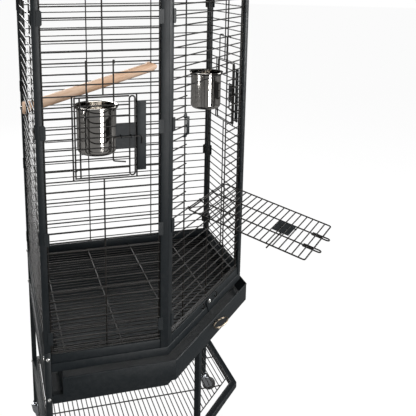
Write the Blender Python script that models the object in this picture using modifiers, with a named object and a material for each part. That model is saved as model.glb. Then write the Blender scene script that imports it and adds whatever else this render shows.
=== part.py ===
"""Corner bird cage on a wheeled stand.

A five-sided wire cage that stands in the corner of a room: two long walls meet at the back
corner, two short side walls stand square to them, and a slanted front joins the side walls.
The front carries a landing door that folds down, each side wall a small feeder door, and a
dirt tray slides out at the front between the two rings of the stand.

Metres, +Z up. The front faces -Y, X = 0 is the middle of the front, Z = 0 is the floor.
"""

import math
from collections import namedtuple

import bmesh
import bpy
from mathutils import Matrix, Vector

# ---------------------------------------------------------------- driving dimensions
GAP = 0.0003                 # seam between pieces that touch

LONG_WALL = 0.648            # back walls, outer corner to outer corner
SIDE_WALL = 0.312            # side walls, outer corner to outer corner
CAGE_FLOOR_Z = 0.658         # top of the bottom rails above the floor
WIRE_PITCH = 0.025           # spacing of the horizontal wires
WIRE_ROWS = 45               # rows of wires in a wall

TUBE = 0.016                 # square tube of legs and posts
CORNER_FACE = 0.020          # width of each outer face of the two front corner posts
RAIL_HEIGHT = 0.023          # rails and ring beams, height
RAIL_INSET = 0.002           # outer face of the wall rails behind the posts' outer face
RAIL_DEPTH = 0.012           # wall rails, front to back
RING_WIDTH = 0.020           # beams of the stand's rings
LEDGE_WIDTH = 0.038          # lower ring where the tray's front runs on it
BACK_LEDGE_WIDTH = 0.055     # lower ring under the tray's back
POST_FOOT = 0.008            # height of the legs' ends above the cage floor line

WIRE = 0.0034                 # thickness of the wires
EDGE_WIRE = 0.0035           # edge wires and upright wires
GRID_DEPTH = 0.006           # middle of the wires behind the posts' outer face

TRAY_SLOT = 0.065            # height between the two rings
TRAY_HEIGHT = 0.057
TRAY_WALL = 0.0015
TRAY_SIDE_CLEARANCE = 0.006  # tray to the legs, along the back walls
TRAY_FRONT_INSET = 0.005     # tray's front faces behind the rings' faces when home
TRAY_REST_OUT = 0.028        # how far the tray stands out at rest

SHELF_TOP_Z = 0.240
SHELF_HEIGHT = 0.020
SHELF_PITCH = 0.0145
GRATE_PITCH = 0.017
GRATE_THICKNESS = 0.004
GRATE_CLEARANCE = 0.0015
ROOF_PITCH = 0.025

DOOR_SLOPE = 12.0            # degrees the open landing door hangs below level
DOOR_HINGE_ROW = 12          # the row of wire that the landing door hinges on
DOOR_ROWS = 13               # wire rows that the landing opening takes up
OPENING_SIDE = 0.100         # edge of the landing opening from the front wall's left corner
OPENING_WIDTH = 0.250
DOOR_SIDE_CLEARANCE = 0.006
DOOR_EDGE_CLEARANCE = 0.0017
DOOR_CELLS = 19
DOOR_LOOP_REACH = 0.018      # loops at the landing door's free edge
DOOR_LOOP_WIDTH = 0.016
DOOR_LOOP_ROOT = 0.030
DOOR_LOOP_BITE = 0.0006      # how far the loops sink into the door's wires
LATCH_PLATE_WIDTH = 0.048
LATCH_PLATE_HEIGHT = 0.060
LATCH_WIRE = 0.0036
LATCH_STANDOFF = 0.0025      # latch wire's surface in front of the plate
DOOR_LATCH_AT = 0.227        # along the landing door from its hinge
BOLT_TIP = 0.001             # past the edge of the opening when drawn back
BOLT_HANDLE = 0.026
BOLT_CLEARANCE = 0.0012      # bolt to its keeper
BOLT_KEEPER_SIDE = 0.003
BOLT_KEEPER_WIDTH = 0.014
BOLT_KEEPER_HEIGHT = 0.060

FEEDER_ROW = 17              # row under the feeder opening
FEEDER_ROWS = 8
FEEDER_HINGE_SIDE = 0.086    # edges of the feeder opening from the side wall's back corner
FEEDER_LATCH_SIDE = 0.233
FEEDER_CLEARANCE = 0.0012
FEEDER_STILE = 0.014
FEEDER_LOOP = 0.017
KEEPER_WIDTH = 0.021
KEEPER_THICKNESS = 0.0025
KEEPER_FOOT = 0.010
KEEPER_CLEARANCE = 0.0005    # feeder latch to its keeper bar
KEEPER_MARGIN = 0.015        # keeper's ends inside the opening's top and bottom wires

CUP_RIM_DIAMETER = 0.109
CUP_DIAMETER = 0.0956
CUP_HEIGHT = 0.118
CUP_WALL = 0.0012
CUP_CORNER = 0.014
CUP_RIM_Z = 0.602            # above the cage floor line
CUP_CENTRE_DEPTH = 0.070     # behind the side wall's outer face
CUP_CENTRE_SIDE = 0.150      # from the side wall's back corner
HANGER_WIRE = 0.0036
HANGER_SPREAD = 0.063
HANGER_ROW = 28              # row of wire that the hanger hooks over

PERCH_DIAMETER = 0.033
PERCH_LEFT_PAST_UPRIGHT = 0.013      # beyond the left back wall's second upright
PERCH_RIGHT_BEFORE_UPRIGHT = 0.005   # short of the right back wall's upright
PERCH_LEFT_ROW = 20          # gaps between rows that the perch's screws pass
PERCH_RIGHT_ROW = 23
PERCH_CAP_DIAMETER = 0.037
PERCH_CAP_THICKNESS = 0.009

RING_PULL_WIDTH = 0.068
RING_PULL_REACH = 0.036
RING_PULL_WIRE = 0.0045
RING_PULL_RISE = 15.0        # degrees above level at rest
RING_PULL_DROP = 0.015       # below the tray's top edge
TURN_BUTTON_THICKNESS = 0.0025
TURN_BUTTON_WIDTH = 0.032
TURN_BUTTON_REACH = 0.035
TURN_BUTTON_HEAD = 0.008
TURN_BUTTON_DROP = 0.009     # pivot below the cage floor line

CASTER_HEIGHT = 0.068
CASTER_TRAIL = 0.022
WHEEL_DIAMETER = 0.050
WHEEL_WIDTH = 0.020
WHEEL_SIDES = 24
FORK_SHEET = 0.0025
FORK_LENGTH = 0.026
FORK_CLEARANCE = 0.0015
SWIVEL_DIAMETER = 0.022
SWIVEL_HEIGHT = 0.008
WHEEL_HUB_DIAMETER = 0.018
TURN_STEPS = 20              # sides of turned pieces

CASTER_HEADING = 31.0        # degrees that the side casters trail away from straight ahead

# ---------------------------------------------------------------- derived sizes
ROOT_HALF = math.sqrt(0.5)
PANEL_HEIGHT = WIRE_PITCH * WIRE_ROWS
FRONT_WALL = math.sqrt(2) * (LONG_WALL - SIDE_WALL)
HALF_WIDTH = LONG_WALL * ROOT_HALF
DOOR_START = EDGE_WIRE / 2 + DOOR_EDGE_CLEARANCE
DOOR_LENGTH = DOOR_ROWS * WIRE_PITCH - WIRE / 2 - DOOR_EDGE_CLEARANCE - DOOR_START
DOOR_WIDTH = OPENING_WIDTH - 2 * DOOR_SIDE_CLEARANCE
SLOPE = math.radians(DOOR_SLOPE)
LOOP_BELOW = WIRE / 2 + EDGE_WIRE / 2 - DOOR_LOOP_BITE     # loops' middle under the door's
DOOR_TIP = DOOR_START + DOOR_LENGTH + DOOR_LOOP_REACH
DOOR_REACH = ((DOOR_TIP - EDGE_WIRE / 2) * math.cos(SLOPE) + EDGE_WIRE / 2
              - LOOP_BELOW * math.sin(SLOPE) - GRID_DEPTH)
CORNER_Y = (DOOR_REACH - (LONG_WALL - SIDE_WALL) * ROOT_HALF) / 2   # centres the part on Y = 0

UPPER_RING_TOP = CAGE_FLOOR_Z - RAIL_HEIGHT - GAP
UPPER_RING_BOTTOM = UPPER_RING_TOP - RAIL_HEIGHT
LOWER_RING_TOP = UPPER_RING_BOTTOM - TRAY_SLOT
LOWER_RING_BOTTOM = LOWER_RING_TOP - RAIL_HEIGHT
POST_TOP = CAGE_FLOOR_Z + PANEL_HEIGHT
TOP_RING_TOP = POST_TOP + GAP + RAIL_HEIGHT
TRAY_BOTTOM = LOWER_RING_TOP + GAP

# ---------------------------------------------------------------- finishes
Finish = namedtuple("Finish", "colour roughness metallic")
FINISHES = {
    "hammertone": Finish((0.022, 0.027, 0.032, 1.0), 0.48, 0.35),
    "wire": Finish((0.018, 0.018, 0.019, 1.0), 0.40, 0.35),
    "steel": Finish((0.62, 0.61, 0.58, 1.0), 0.12, 1.0),
    "wood": Finish((0.62, 0.40, 0.24, 1.0), 0.62, 0.0),
    "chrome": Finish((0.60, 0.62, 0.64, 1.0), 0.15, 1.0),
    "rubber": Finish((0.03, 0.03, 0.032, 1.0), 0.70, 0.0),
}

Wall = namedtuple("Wall", "start along outward length")


def make_wall(start, end):
    """A wall from corner to corner, seen from outside with its length running right."""
    run = end - start
    along = run.normalized()
    return Wall(start, along, along.cross(Vector((0, 0, 1))), run.length)


def wall_point(wall, side, z, depth=0.0):
    """A point at a distance along the wall, at height z, depth metres behind its outer face."""
    point = wall.start + wall.along * side - wall.outward * depth
    return Vector((point.x, point.y, z))


def wall_matrix(wall, z, depth):
    """Turns a flat outline (right, up) into an upright one in the wall's plane."""
    origin = wall_point(wall, 0, z, depth)
    columns = (wall.along, Vector((0, 0, 1)), wall.outward, origin)
    return Matrix([[c[row] for c in columns] for row in range(3)] + [[0, 0, 0, 1]])


def corner_points():
    """The five outer corners in plan: left, front left, front right, right and back."""
    reach = SIDE_WALL * ROOT_HALF
    return [
        Vector((-HALF_WIDTH, CORNER_Y, 0)),
        Vector((-HALF_WIDTH + reach, CORNER_Y - reach, 0)),
        Vector((HALF_WIDTH - reach, CORNER_Y - reach, 0)),
        Vector((HALF_WIDTH, CORNER_Y, 0)),
        Vector((0, CORNER_Y + HALF_WIDTH, 0)),
    ]


CORNERS = corner_points()
WALL_NAMES = ("left_side", "front", "right_side", "back_right", "back_left")
WALLS = {
    name: make_wall(CORNERS[i], CORNERS[(i + 1) % 5]) for i, name in enumerate(WALL_NAMES)
}
FRONT = WALLS["front"]


# ---------------------------------------------------------------- scene helpers
def clear_scene():
    """Removes what the new file holds."""
    for obj in list(bpy.data.objects):
        bpy.data.objects.remove(obj, do_unlink=True)


def new_collection(name):
    """A collection linked to the scene."""
    collection = bpy.data.collections.new(name)
    bpy.context.scene.collection.children.link(collection)
    return collection


def finish_material(name, finish_name):
    """A Principled material for one sub-part."""
    finish = FINISHES[finish_name]
    material = bpy.data.materials.new(name + "_" + finish_name)
    material.use_nodes = True
    shader = material.node_tree.nodes["Principled BSDF"]
    shader.inputs["Base Color"].default_value = finish.colour
    shader.inputs["Roughness"].default_value = finish.roughness
    shader.inputs["Metallic"].default_value = finish.metallic
    return material


def add_object(name, data, finish_name, collection):
    """Links a new object for data, with its own material."""
    obj = bpy.data.objects.new(name, data)
    data.materials.append(finish_material(name, finish_name))
    collection.objects.link(obj)
    return obj


def flat_curve(name, loops, thickness):
    """A flat outline and its holes, as a filled 2D curve of the given thickness."""
    curve = bpy.data.curves.new(name, "CURVE")
    curve.dimensions = "2D"
    curve.fill_mode = "BOTH"
    curve.extrude = thickness / 2
    for loop in loops:
        spline = curve.splines.new("POLY")
        spline.points.add(len(loop) - 1)
        for point, (x, y) in zip(spline.points, loop):
            point.co = (x, y, 0, 1)
        spline.use_cyclic_u = True
    return curve


def wire_curve(name, points, diameter, closed=False):
    """A round wire through the points."""
    curve = bpy.data.curves.new(name, "CURVE")
    curve.dimensions = "3D"
    curve.bevel_depth = diameter / 2
    curve.bevel_resolution = 2
    curve.use_fill_caps = True
    spline = curve.splines.new("POLY")
    spline.points.add(len(points) - 1)
    for point, place in zip(spline.points, points):
        point.co = (*place, 1)
    spline.use_cyclic_u = closed
    return curve


def upright_plate(name, wall, loops, z, depth, thickness, finish_name, collection):
    """A flat piece in a wall's plane, from loops of (side, height above z)."""
    obj = add_object(name, flat_curve(name, loops, thickness), finish_name, collection)
    obj.matrix_world = wall_matrix(wall, z, depth)
    return obj


def box_mesh(name, matrices):
    """Boxes, each a unit cube placed by its matrix, in one mesh."""
    mesh = bpy.data.meshes.new(name)
    shape = bmesh.new()
    for matrix in matrices:
        bmesh.ops.create_cube(shape, size=1, matrix=matrix)
    shape.to_mesh(mesh)
    shape.free()
    return mesh


def cut_plate(name, matrix, loops, thickness, finish_name, collections):
    """A plate with rectangular openings, cut through it by boxes."""
    parts, cutters = collections
    plate = add_object(name, flat_curve(name, loops[:1], thickness), finish_name, parts)
    plate.matrix_world = matrix
    plate = curve_to_mesh(plate, parts)
    boxes = []
    for loop in loops[1:]:
        xs, ys = [p[0] for p in loop], [p[1] for p in loop]
        size = (max(xs) - min(xs), max(ys) - min(ys), 4 * thickness, 1)
        middle = ((max(xs) + min(xs)) / 2, (max(ys) + min(ys)) / 2, 0)
        boxes.append(Matrix.Translation(middle) @ Matrix.Diagonal(size))
    cutter = bpy.data.objects.new(name + "_openings", box_mesh(name + "_openings", boxes))
    cutters.objects.link(cutter)
    cutter.matrix_world = plate.matrix_world
    add_boolean(plate, cutter, "DIFFERENCE", cutters)
    return plate


def plan_prism(name, loops, bottom, top, finish_name, collection):
    """A flat plan outline standing between two heights."""
    obj = add_object(name, flat_curve(name, loops, top - bottom), finish_name, collection)
    obj.location.z = (bottom + top) / 2
    return obj


def curve_to_mesh(obj, collection):
    """Replaces a curve object by its mesh, with the caps welded on."""
    depsgraph = bpy.context.evaluated_depsgraph_get()
    mesh = bpy.data.meshes.new_from_object(obj.evaluated_get(depsgraph))
    shape = bmesh.new()
    shape.from_mesh(mesh)
    bmesh.ops.remove_doubles(shape, verts=shape.verts, dist=0.00001)
    bmesh.ops.recalc_face_normals(shape, faces=shape.faces)
    shape.to_mesh(mesh)
    shape.free()
    solid = bpy.data.objects.new(obj.name + "_solid", mesh)
    collection.objects.link(solid)
    solid.matrix_world = obj.matrix_world
    curve = obj.data
    name = obj.name
    bpy.data.objects.remove(obj)
    bpy.data.curves.remove(curve)
    solid.name = name
    return solid


def add_boolean(obj, cutter, operation, cutters):
    """Joins or cuts obj with a helper object, which moves to the cutters' collection."""
    modifier = obj.modifiers.new(operation.title() + "_" + cutter.name, "BOOLEAN")
    modifier.operation = operation
    modifier.solver = "EXACT"
    modifier.object = cutter
    for owner in list(cutter.users_collection):
        owner.objects.unlink(cutter)
    cutters.objects.link(cutter)
    cutter.hide_render = True
    cutter.display_type = "WIRE"


def turned(name, profile, steps, finish_name, collection):
    """A turned piece about its own Z, from a profile of (radius, height)."""
    mesh = bpy.data.meshes.new(name)
    edges = [(i, i + 1) for i in range(len(profile) - 1)]
    mesh.from_pydata([(r, 0, z) for r, z in profile], edges, [])
    obj = add_object(name, mesh, finish_name, collection)
    screw = obj.modifiers.new("Turn", "SCREW")
    screw.axis = "Z"
    screw.angle = 2 * math.pi
    screw.steps = steps
    screw.render_steps = steps
    screw.use_merge_vertices = True
    screw.merge_threshold = 0.00001
    screw.use_smooth_shade = True
    return obj


def smooth(mesh, angle=35.0):
    """Smooth shading with sharp edges kept."""
    mesh.shade_smooth()
    mesh.set_sharp_from_angle(angle=math.radians(angle))


# ---------------------------------------------------------------- plan outlines
def crossing(point_a, along_a, point_b, along_b):
    """Where two plan lines cross."""
    spread = along_a.x * along_b.y - along_a.y * along_b.x
    offset = point_b - point_a
    return point_a + along_a * ((offset.x * along_b.y - offset.y * along_b.x) / spread)


def inset_corners(insets):
    """The plan's corners with each wall moved inwards by its own distance."""
    lines = [
        (wall.start - wall.outward * inset, wall.along)
        for wall, inset in zip(WALLS.values(), insets)
    ]
    return [crossing(*lines[i - 1], *lines[i]) for i in range(5)]


def flat(points):
    """Plan points without their height."""
    return [(p.x, p.y) for p in points]


def notched_outline(notch):
    """The plan's outline with a square notch at each of the three leg corners."""
    outline = []
    for i, corner in enumerate(CORNERS):
        before = list(WALLS.values())[i - 1].along * notch
        after = list(WALLS.values())[i].along * notch
        if i in (1, 2):
            outline.append(corner)
        else:
            outline += [corner - before, corner - before + after, corner + after]
    return outline


def leg_section(i):
    """Plan of the square tube at one of the leg corners."""
    corner = CORNERS[i]
    back = list(WALLS.values())[i - 1].along * -TUBE
    on = list(WALLS.values())[i].along * TUBE
    return [corner, corner + on, corner + on + back, corner + back]


def corner_post_section(i):
    """Plan of a front corner post: one face in each of the two walls that meet there."""
    corner = CORNERS[i]
    before = list(WALLS.values())[i - 1]
    after = list(WALLS.values())[i]
    inner = crossing(corner - before.outward * TUBE, before.along,
                     corner - after.outward * TUBE, after.along)
    far_before = corner - before.along * CORNER_FACE
    far_after = corner + after.along * CORNER_FACE
    return [corner, far_after, far_after - after.outward * TUBE, inner,
            far_before - before.outward * TUBE, far_before]


# ---------------------------------------------------------------- the stand
LEG_CORNERS = {"left": 0, "right": 3, "back": 4}


def build_legs(parts):
    """Three corner legs and the short one under the middle of the front."""
    for side, corner in LEG_CORNERS.items():
        plan_prism("leg_" + side, [flat(leg_section(corner))], CASTER_HEIGHT,
                   CAGE_FLOOR_Z + POST_FOOT, "hammertone", parts)
    plan_prism("leg_front", [flat(front_leg_section(0.0))], CASTER_HEIGHT,
               LOWER_RING_BOTTOM - GAP, "hammertone", parts)


def front_leg_section(clearance):
    """Plan of the front leg, just behind the shelf's front beam, grown by a clearance."""
    half = TUBE / 2 + clearance
    middle = wall_point(FRONT, FRONT_WALL / 2, 0, RING_WIDTH + 2 * GAP + TUBE / 2)
    side, depth = FRONT.along * half, FRONT.outward * half
    return [middle - side + depth, middle - side - depth, middle + side - depth,
            middle + side + depth]


def build_rings(parts):
    """The two rings that the tray runs between, the shelf's ring and the cage's top ring."""
    notched = flat(notched_outline(TUBE + GAP))
    inner = flat(inset_corners([RING_WIDTH] * 5))
    ledge = flat(inset_corners([RING_WIDTH, LEDGE_WIDTH, RING_WIDTH,
                                BACK_LEDGE_WIDTH, BACK_LEDGE_WIDTH]))
    plain = flat(CORNERS)
    rings = (
        ("stand_upper_ring", notched, inner, UPPER_RING_BOTTOM, UPPER_RING_TOP),
        ("stand_lower_ring", notched, ledge, LOWER_RING_BOTTOM, LOWER_RING_TOP),
        ("shelf_ring", notched, inner, SHELF_TOP_Z - SHELF_HEIGHT, SHELF_TOP_Z),
        ("top_ring", plain, inner, POST_TOP + GAP, TOP_RING_TOP),
    )
    for name, outer, hole, bottom, top in rings:
        plan_prism(name, [outer, hole], bottom, top, "hammertone", parts)


def plan_grille(name, outline, inside, direction, pitch, bottom, thickness, parts, cutters):
    """A flat grille in plan: a border from outline to inside, crossed by parallel wires."""
    border = plan_prism(name, [flat(outline)], bottom, bottom + thickness, "wire", parts)
    border = curve_to_mesh(border, parts)
    gaps = plan_prism(name + "_gaps", [flat(inside)], bottom - thickness,
                      bottom + 2 * thickness, "wire", cutters)
    gaps = curve_to_mesh(gaps, cutters)
    across = Vector((-direction.y, direction.x, 0))
    reach = [p.dot(across) for p in inside]
    count = int((max(reach) - min(reach)) / pitch)
    first = (max(reach) + min(reach) - (count - 1) * pitch) / 2
    size = Matrix.Diagonal((3 * LONG_WALL, WIRE, 4 * thickness, 1))
    turn = Matrix.Rotation(math.atan2(direction.y, direction.x), 4, "Z")
    places = [across * (first + i * pitch) for i in range(count)]
    height = Matrix.Translation((0, 0, bottom + thickness / 2))
    mesh = box_mesh(name + "_wires",
                    [Matrix.Translation(p) @ height @ turn @ size for p in places])
    wires = bpy.data.objects.new(name + "_wires", mesh)
    cutters.objects.link(wires)
    add_boolean(gaps, wires, "DIFFERENCE", cutters)
    add_boolean(border, gaps, "DIFFERENCE", cutters)


def build_grilles(parts, cutters):
    """The shelf's grille, the cage's floor grate and the roof's grille."""
    in_ring = [RING_WIDTH + GAP] * 5
    border = inset_corners(in_ring)
    inside = inset_corners([inset + EDGE_WIRE for inset in in_ring])
    leg_room = TUBE + 2 * GAP
    past_leg = inset_corners([
        RING_WIDTH + GAP + EDGE_WIRE + (leg_room if wall is FRONT else 0)
        for wall in WALLS.values()
    ])
    notched = border[:2] + front_leg_section(GAP) + border[2:]
    plan_grille("shelf_grille", notched, past_leg, WALLS["right_side"].along, SHELF_PITCH,
                SHELF_TOP_Z - WIRE, WIRE, parts, cutters)
    plan_grille("roof_grille", border, inside, WALLS["left_side"].along, ROOF_PITCH,
                TOP_RING_TOP - RAIL_HEIGHT / 2, WIRE, parts, cutters)
    grate = TUBE + GRATE_CLEARANCE
    plan_grille("floor_grate", inset_corners([grate] * 5),
                inset_corners([grate + EDGE_WIRE] * 5), WALLS["left_side"].along, GRATE_PITCH,
                UPPER_RING_TOP + GAP, GRATE_THICKNESS, parts, cutters)


# ---------------------------------------------------------------- the cage
def build_posts(parts):
    """Square tubes on the legs, and two folded posts at the front corners."""
    for side, corner in LEG_CORNERS.items():
        plan_prism("post_" + side, [flat(leg_section(corner))],
                   CAGE_FLOOR_Z + POST_FOOT + GAP, POST_TOP, "hammertone", parts)
    for side, corner in (("front_left", 1), ("front_right", 2)):
        plan_prism("post_" + side, [flat(corner_post_section(corner))],
                   UPPER_RING_TOP + GAP, POST_TOP, "hammertone", parts)


def clear_span(name):
    """Start and end of the room between the posts, along a wall."""
    starts = {"front": CORNER_FACE, "right_side": CORNER_FACE}
    ends = {"left_side": CORNER_FACE, "front": CORNER_FACE}
    return (starts.get(name, TUBE) + GAP,
            WALLS[name].length - ends.get(name, TUBE) - GAP)


def rectangle(left, right, bottom, top):
    """Corners of an upright rectangle."""
    return [(left, bottom), (right, bottom), (right, top), (left, top)]


def row_height(row):
    """Height of a wire row above the cage floor line."""
    return WIRE_PITCH * (row + 0.5)


def row_cell(row, left, right):
    """The opening between a wire row and the row below it."""
    bottom = row_height(row - 1) + WIRE / 2 if row else GAP + WIRE
    top = row_height(row) - WIRE / 2 if row < WIRE_ROWS else PANEL_HEIGHT - GAP - WIRE
    return rectangle(left, right, bottom, top)


def column_edges(span, uprights):
    """Left and right edges of the openings between upright wires."""
    stops = [span[0] + EDGE_WIRE / 2, *uprights, span[1] - EDGE_WIRE / 2]
    half = EDGE_WIRE / 2
    return [(a + half, b - half) for a, b in zip(stops, stops[1:])]


def wall_grille(name, columns, openings=()):
    """Loops of a wall's wire grille; columns gives each row's openings from side to side."""
    span = clear_span(name)
    loops = [rectangle(span[0], span[1], GAP, PANEL_HEIGHT - GAP)]
    for row in range(WIRE_ROWS + 1):
        loops += [row_cell(row, left, right) for left, right in columns(row, span)]
    return loops + list(openings)


def side_opening():
    """The feeder opening between its wires, seen on the left side wall."""
    return (FEEDER_HINGE_SIDE, FEEDER_LATCH_SIDE,
            row_height(FEEDER_ROW) + WIRE / 2,
            row_height(FEEDER_ROW + FEEDER_ROWS) - WIRE / 2)


def mirrored(loop, wall):
    """A loop of the left side wall as it lies on the right side wall."""
    return [(wall.length - side, height) for side, height in loop]


def side_columns(row, span):
    """Openings of one row of the left side wall's grille."""
    if FEEDER_ROW < row <= FEEDER_ROW + FEEDER_ROWS:
        half = EDGE_WIRE
        return [(span[0] + EDGE_WIRE, FEEDER_HINGE_SIDE - half),
                (FEEDER_LATCH_SIDE + half, span[1] - EDGE_WIRE)]
    return column_edges(span, [SIDE_WALL / 2])


def front_columns(row, span):
    """Openings of one row of the front's grille, beside or across the landing opening."""
    if DOOR_HINGE_ROW < row <= DOOR_HINGE_ROW + DOOR_ROWS:
        return [(span[0] + EDGE_WIRE, OPENING_SIDE - EDGE_WIRE),
                (OPENING_SIDE + OPENING_WIDTH + EDGE_WIRE, span[1] - EDGE_WIRE)]
    return column_edges(span, [])


def build_wall_grilles(parts, cutters):
    """Five wire grilles; the side walls and the front have openings for their doors."""
    feeder = rectangle(*side_opening())
    landing = rectangle(
        OPENING_SIDE, OPENING_SIDE + OPENING_WIDTH,
        row_height(DOOR_HINGE_ROW) + WIRE / 2,
        row_height(DOOR_HINGE_ROW + DOOR_ROWS) - WIRE / 2)
    left = wall_grille("left_side", side_columns, [feeder])
    loops = {
        "left_side": left,
        "right_side": [mirrored(loop, WALLS["right_side"]) for loop in left],
        "front": wall_grille("front", front_columns, [landing]),
    }
    for name in ("back_left", "back_right"):
        loops[name] = wall_grille(name, lambda row, span: column_edges(span, []))
    for name, wall_loops in loops.items():
        matrix = wall_matrix(WALLS[name], CAGE_FLOOR_Z, GRID_DEPTH)
        cut_plate("grille_" + name, matrix, wall_loops, WIRE, "wire", (parts, cutters))


def build_rails(parts):
    """A rail under each wall's grille, between the posts."""
    for name, wall in WALLS.items():
        left, right = clear_span(name)
        upright_plate("rail_" + name, wall, [rectangle(left, right, -RAIL_HEIGHT, 0)],
                      CAGE_FLOOR_Z, RAIL_INSET + RAIL_DEPTH / 2, RAIL_DEPTH, "hammertone",
                      parts)


UPRIGHT_DEPTH = GRID_DEPTH + WIRE / 2 + GAP + EDGE_WIRE / 2
UPRIGHT_BACK = UPRIGHT_DEPTH + EDGE_WIRE / 2


def build_uprights(parts):
    """Upright wires welded behind the grilles of the long walls and of the front."""
    low, high = CAGE_FLOOR_Z + GAP, POST_TOP
    hinge = CAGE_FLOOR_Z + row_height(DOOR_HINGE_ROW)
    uprights = [
        ("back_right_a", "back_right", LONG_WALL / 3, high),
        ("back_right_b", "back_right", LONG_WALL * 2 / 3, high),
        ("back_left_a", "back_left", LONG_WALL / 3, high),
        ("back_left_b", "back_left", LONG_WALL * 2 / 3, high),
        ("front_left", "front", OPENING_SIDE - EDGE_WIRE / 2, high),
        ("front_right", "front", OPENING_SIDE + OPENING_WIDTH + EDGE_WIRE / 2, high),
        ("front_middle", "front", FRONT_WALL / 2, hinge - WIRE_PITCH / 2),
    ]
    for name, wall_name, side, top in uprights:
        ends = [wall_point(WALLS[wall_name], side, z, UPRIGHT_DEPTH) for z in (low, top)]
        curve = wire_curve("upright_" + name, ends, EDGE_WIRE)
        add_object("upright_" + name, curve, "wire", parts)


# ---------------------------------------------------------------- landing door
def door_frame():
    """The landing door's hinge frame: X along the hinge, Y out of the cage, Z up."""
    origin = wall_point(FRONT, OPENING_SIDE + OPENING_WIDTH / 2,
                        CAGE_FLOOR_Z + row_height(DOOR_HINGE_ROW), GRID_DEPTH)
    outward = FRONT.outward * math.cos(SLOPE) - Vector((0, 0, 1)) * math.sin(SLOPE)
    sideways = -FRONT.along
    columns = (sideways, outward, sideways.cross(outward), origin)
    return Matrix([[c[row] for c in columns] for row in range(3)] + [[0, 0, 0, 1]])


def build_landing_door(parts, cutters):
    """A wire door folded down outwards, with a latch plate and two loops on its free edge."""
    half = DOOR_WIDTH / 2
    end = DOOR_START + DOOR_LENGTH
    third = DOOR_WIDTH / 6
    columns = column_edges((-half, half), [-third, third])
    pitch = (DOOR_LENGTH - EDGE_WIRE) / DOOR_CELLS
    plate_rows = [DOOR_LATCH_AT - LATCH_PLATE_WIDTH / 2, DOOR_LATCH_AT + LATCH_PLATE_WIDTH / 2]
    loops = [rectangle(-half, half, DOOR_START, end)]
    for row in range(DOOR_CELLS):
        low = DOOR_START + EDGE_WIRE / 2 + row * pitch + WIRE / 2
        high = low + pitch - WIRE
        for i, (left, right) in enumerate(columns):
            plated = i == 1 and high > plate_rows[0] and low < plate_rows[1]
            if not plated:
                loops.append(rectangle(left, right, low, high))
    door = cut_plate("landing_door", door_frame(), loops, WIRE, "wire", (parts, cutters))
    for side in (-1, 1):
        centre = side * third
        root, tip = end - DOOR_LOOP_ROOT, end + DOOR_LOOP_REACH - DOOR_LOOP_WIDTH / 2
        below = -LOOP_BELOW
        path = [(centre - DOOR_LOOP_WIDTH / 2 + EDGE_WIRE / 2, root, below)]
        radius = (DOOR_LOOP_WIDTH - EDGE_WIRE) / 2
        for k in range(7):
            turn = math.pi * (1 - k / 6)
            path.append((centre + radius * math.cos(turn), tip + radius * math.sin(turn), below))
        path.append((centre + radius, root, below))
        loop = bpy.data.objects.new(f"door_loop_{side + 1}",
                                    wire_curve("door_loop", path, EDGE_WIRE))
        cutters.objects.link(loop)
        loop.matrix_world = door_frame()
        add_boolean(door, curve_to_mesh(loop, cutters), "UNION", cutters)


def build_landing_latch(parts):
    """The landing door's sliding bolt, drawn back under the open door."""
    below = -(WIRE / 2 + LATCH_STANDOFF + LATCH_WIRE / 2)
    inner = -LATCH_PLATE_HEIGHT / 2
    tip = OPENING_WIDTH / 2 + BOLT_TIP
    path = [(inner, BOLT_HANDLE, 0), (inner, 0, 0), (tip, 0, 0)]
    latch = add_object("landing_latch", wire_curve("landing_latch", path, LATCH_WIRE),
                       "wire", parts)
    latch.matrix_world = door_frame() @ Matrix.Translation((0, DOOR_LATCH_AT, below))


def strap(name, wall, sides, z, height, reach, parts):
    """A flat strap bridged out from a wall's wires: its two feet lie on them."""
    foot = KEEPER_FOOT
    sheet = KEEPER_THICKNESS
    half = height / 2
    loop = [(-half, 0), (-half + foot, 0), (-half + foot, reach), (half - foot, reach),
            (half - foot, 0), (half, 0), (half, sheet), (half - foot + sheet, sheet),
            (half - foot + sheet, reach + sheet), (-half + foot - sheet, reach + sheet),
            (-half + foot - sheet, sheet), (-half, sheet)]
    start, end = sorted(sides)
    keeper = add_object(name, flat_curve(name, [loop], end - start), "hammertone", parts)
    origin = wall_point(wall, (start + end) / 2, z, GRID_DEPTH - WIRE / 2 - GAP)
    columns = (Vector((0, 0, 1)), wall.outward, wall.along * -1, origin)
    keeper.matrix_world = Matrix([[c[row] for c in columns] for row in range(3)]
                                 + [[0, 0, 0, 1]])


def build_landing_keeper(parts):
    """The strap beside the landing opening that the bolt slides under."""
    end = OPENING_SIDE - EDGE_WIRE - BOLT_KEEPER_SIDE
    height = CAGE_FLOOR_Z + row_height(DOOR_HINGE_ROW) + DOOR_LATCH_AT
    reach = (LATCH_STANDOFF + LATCH_WIRE + BOLT_CLEARANCE) - GAP
    strap("landing_keeper", FRONT, (end - BOLT_KEEPER_WIDTH, end), height,
          BOLT_KEEPER_HEIGHT, reach, parts)


# ---------------------------------------------------------------- feeder doors
def side_frame(side_name):
    """The side wall, and a function that takes the left wall's places to it."""
    wall = WALLS[side_name]
    if side_name == "left_side":
        return wall, lambda side: side
    return wall, lambda side: wall.length - side


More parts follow.
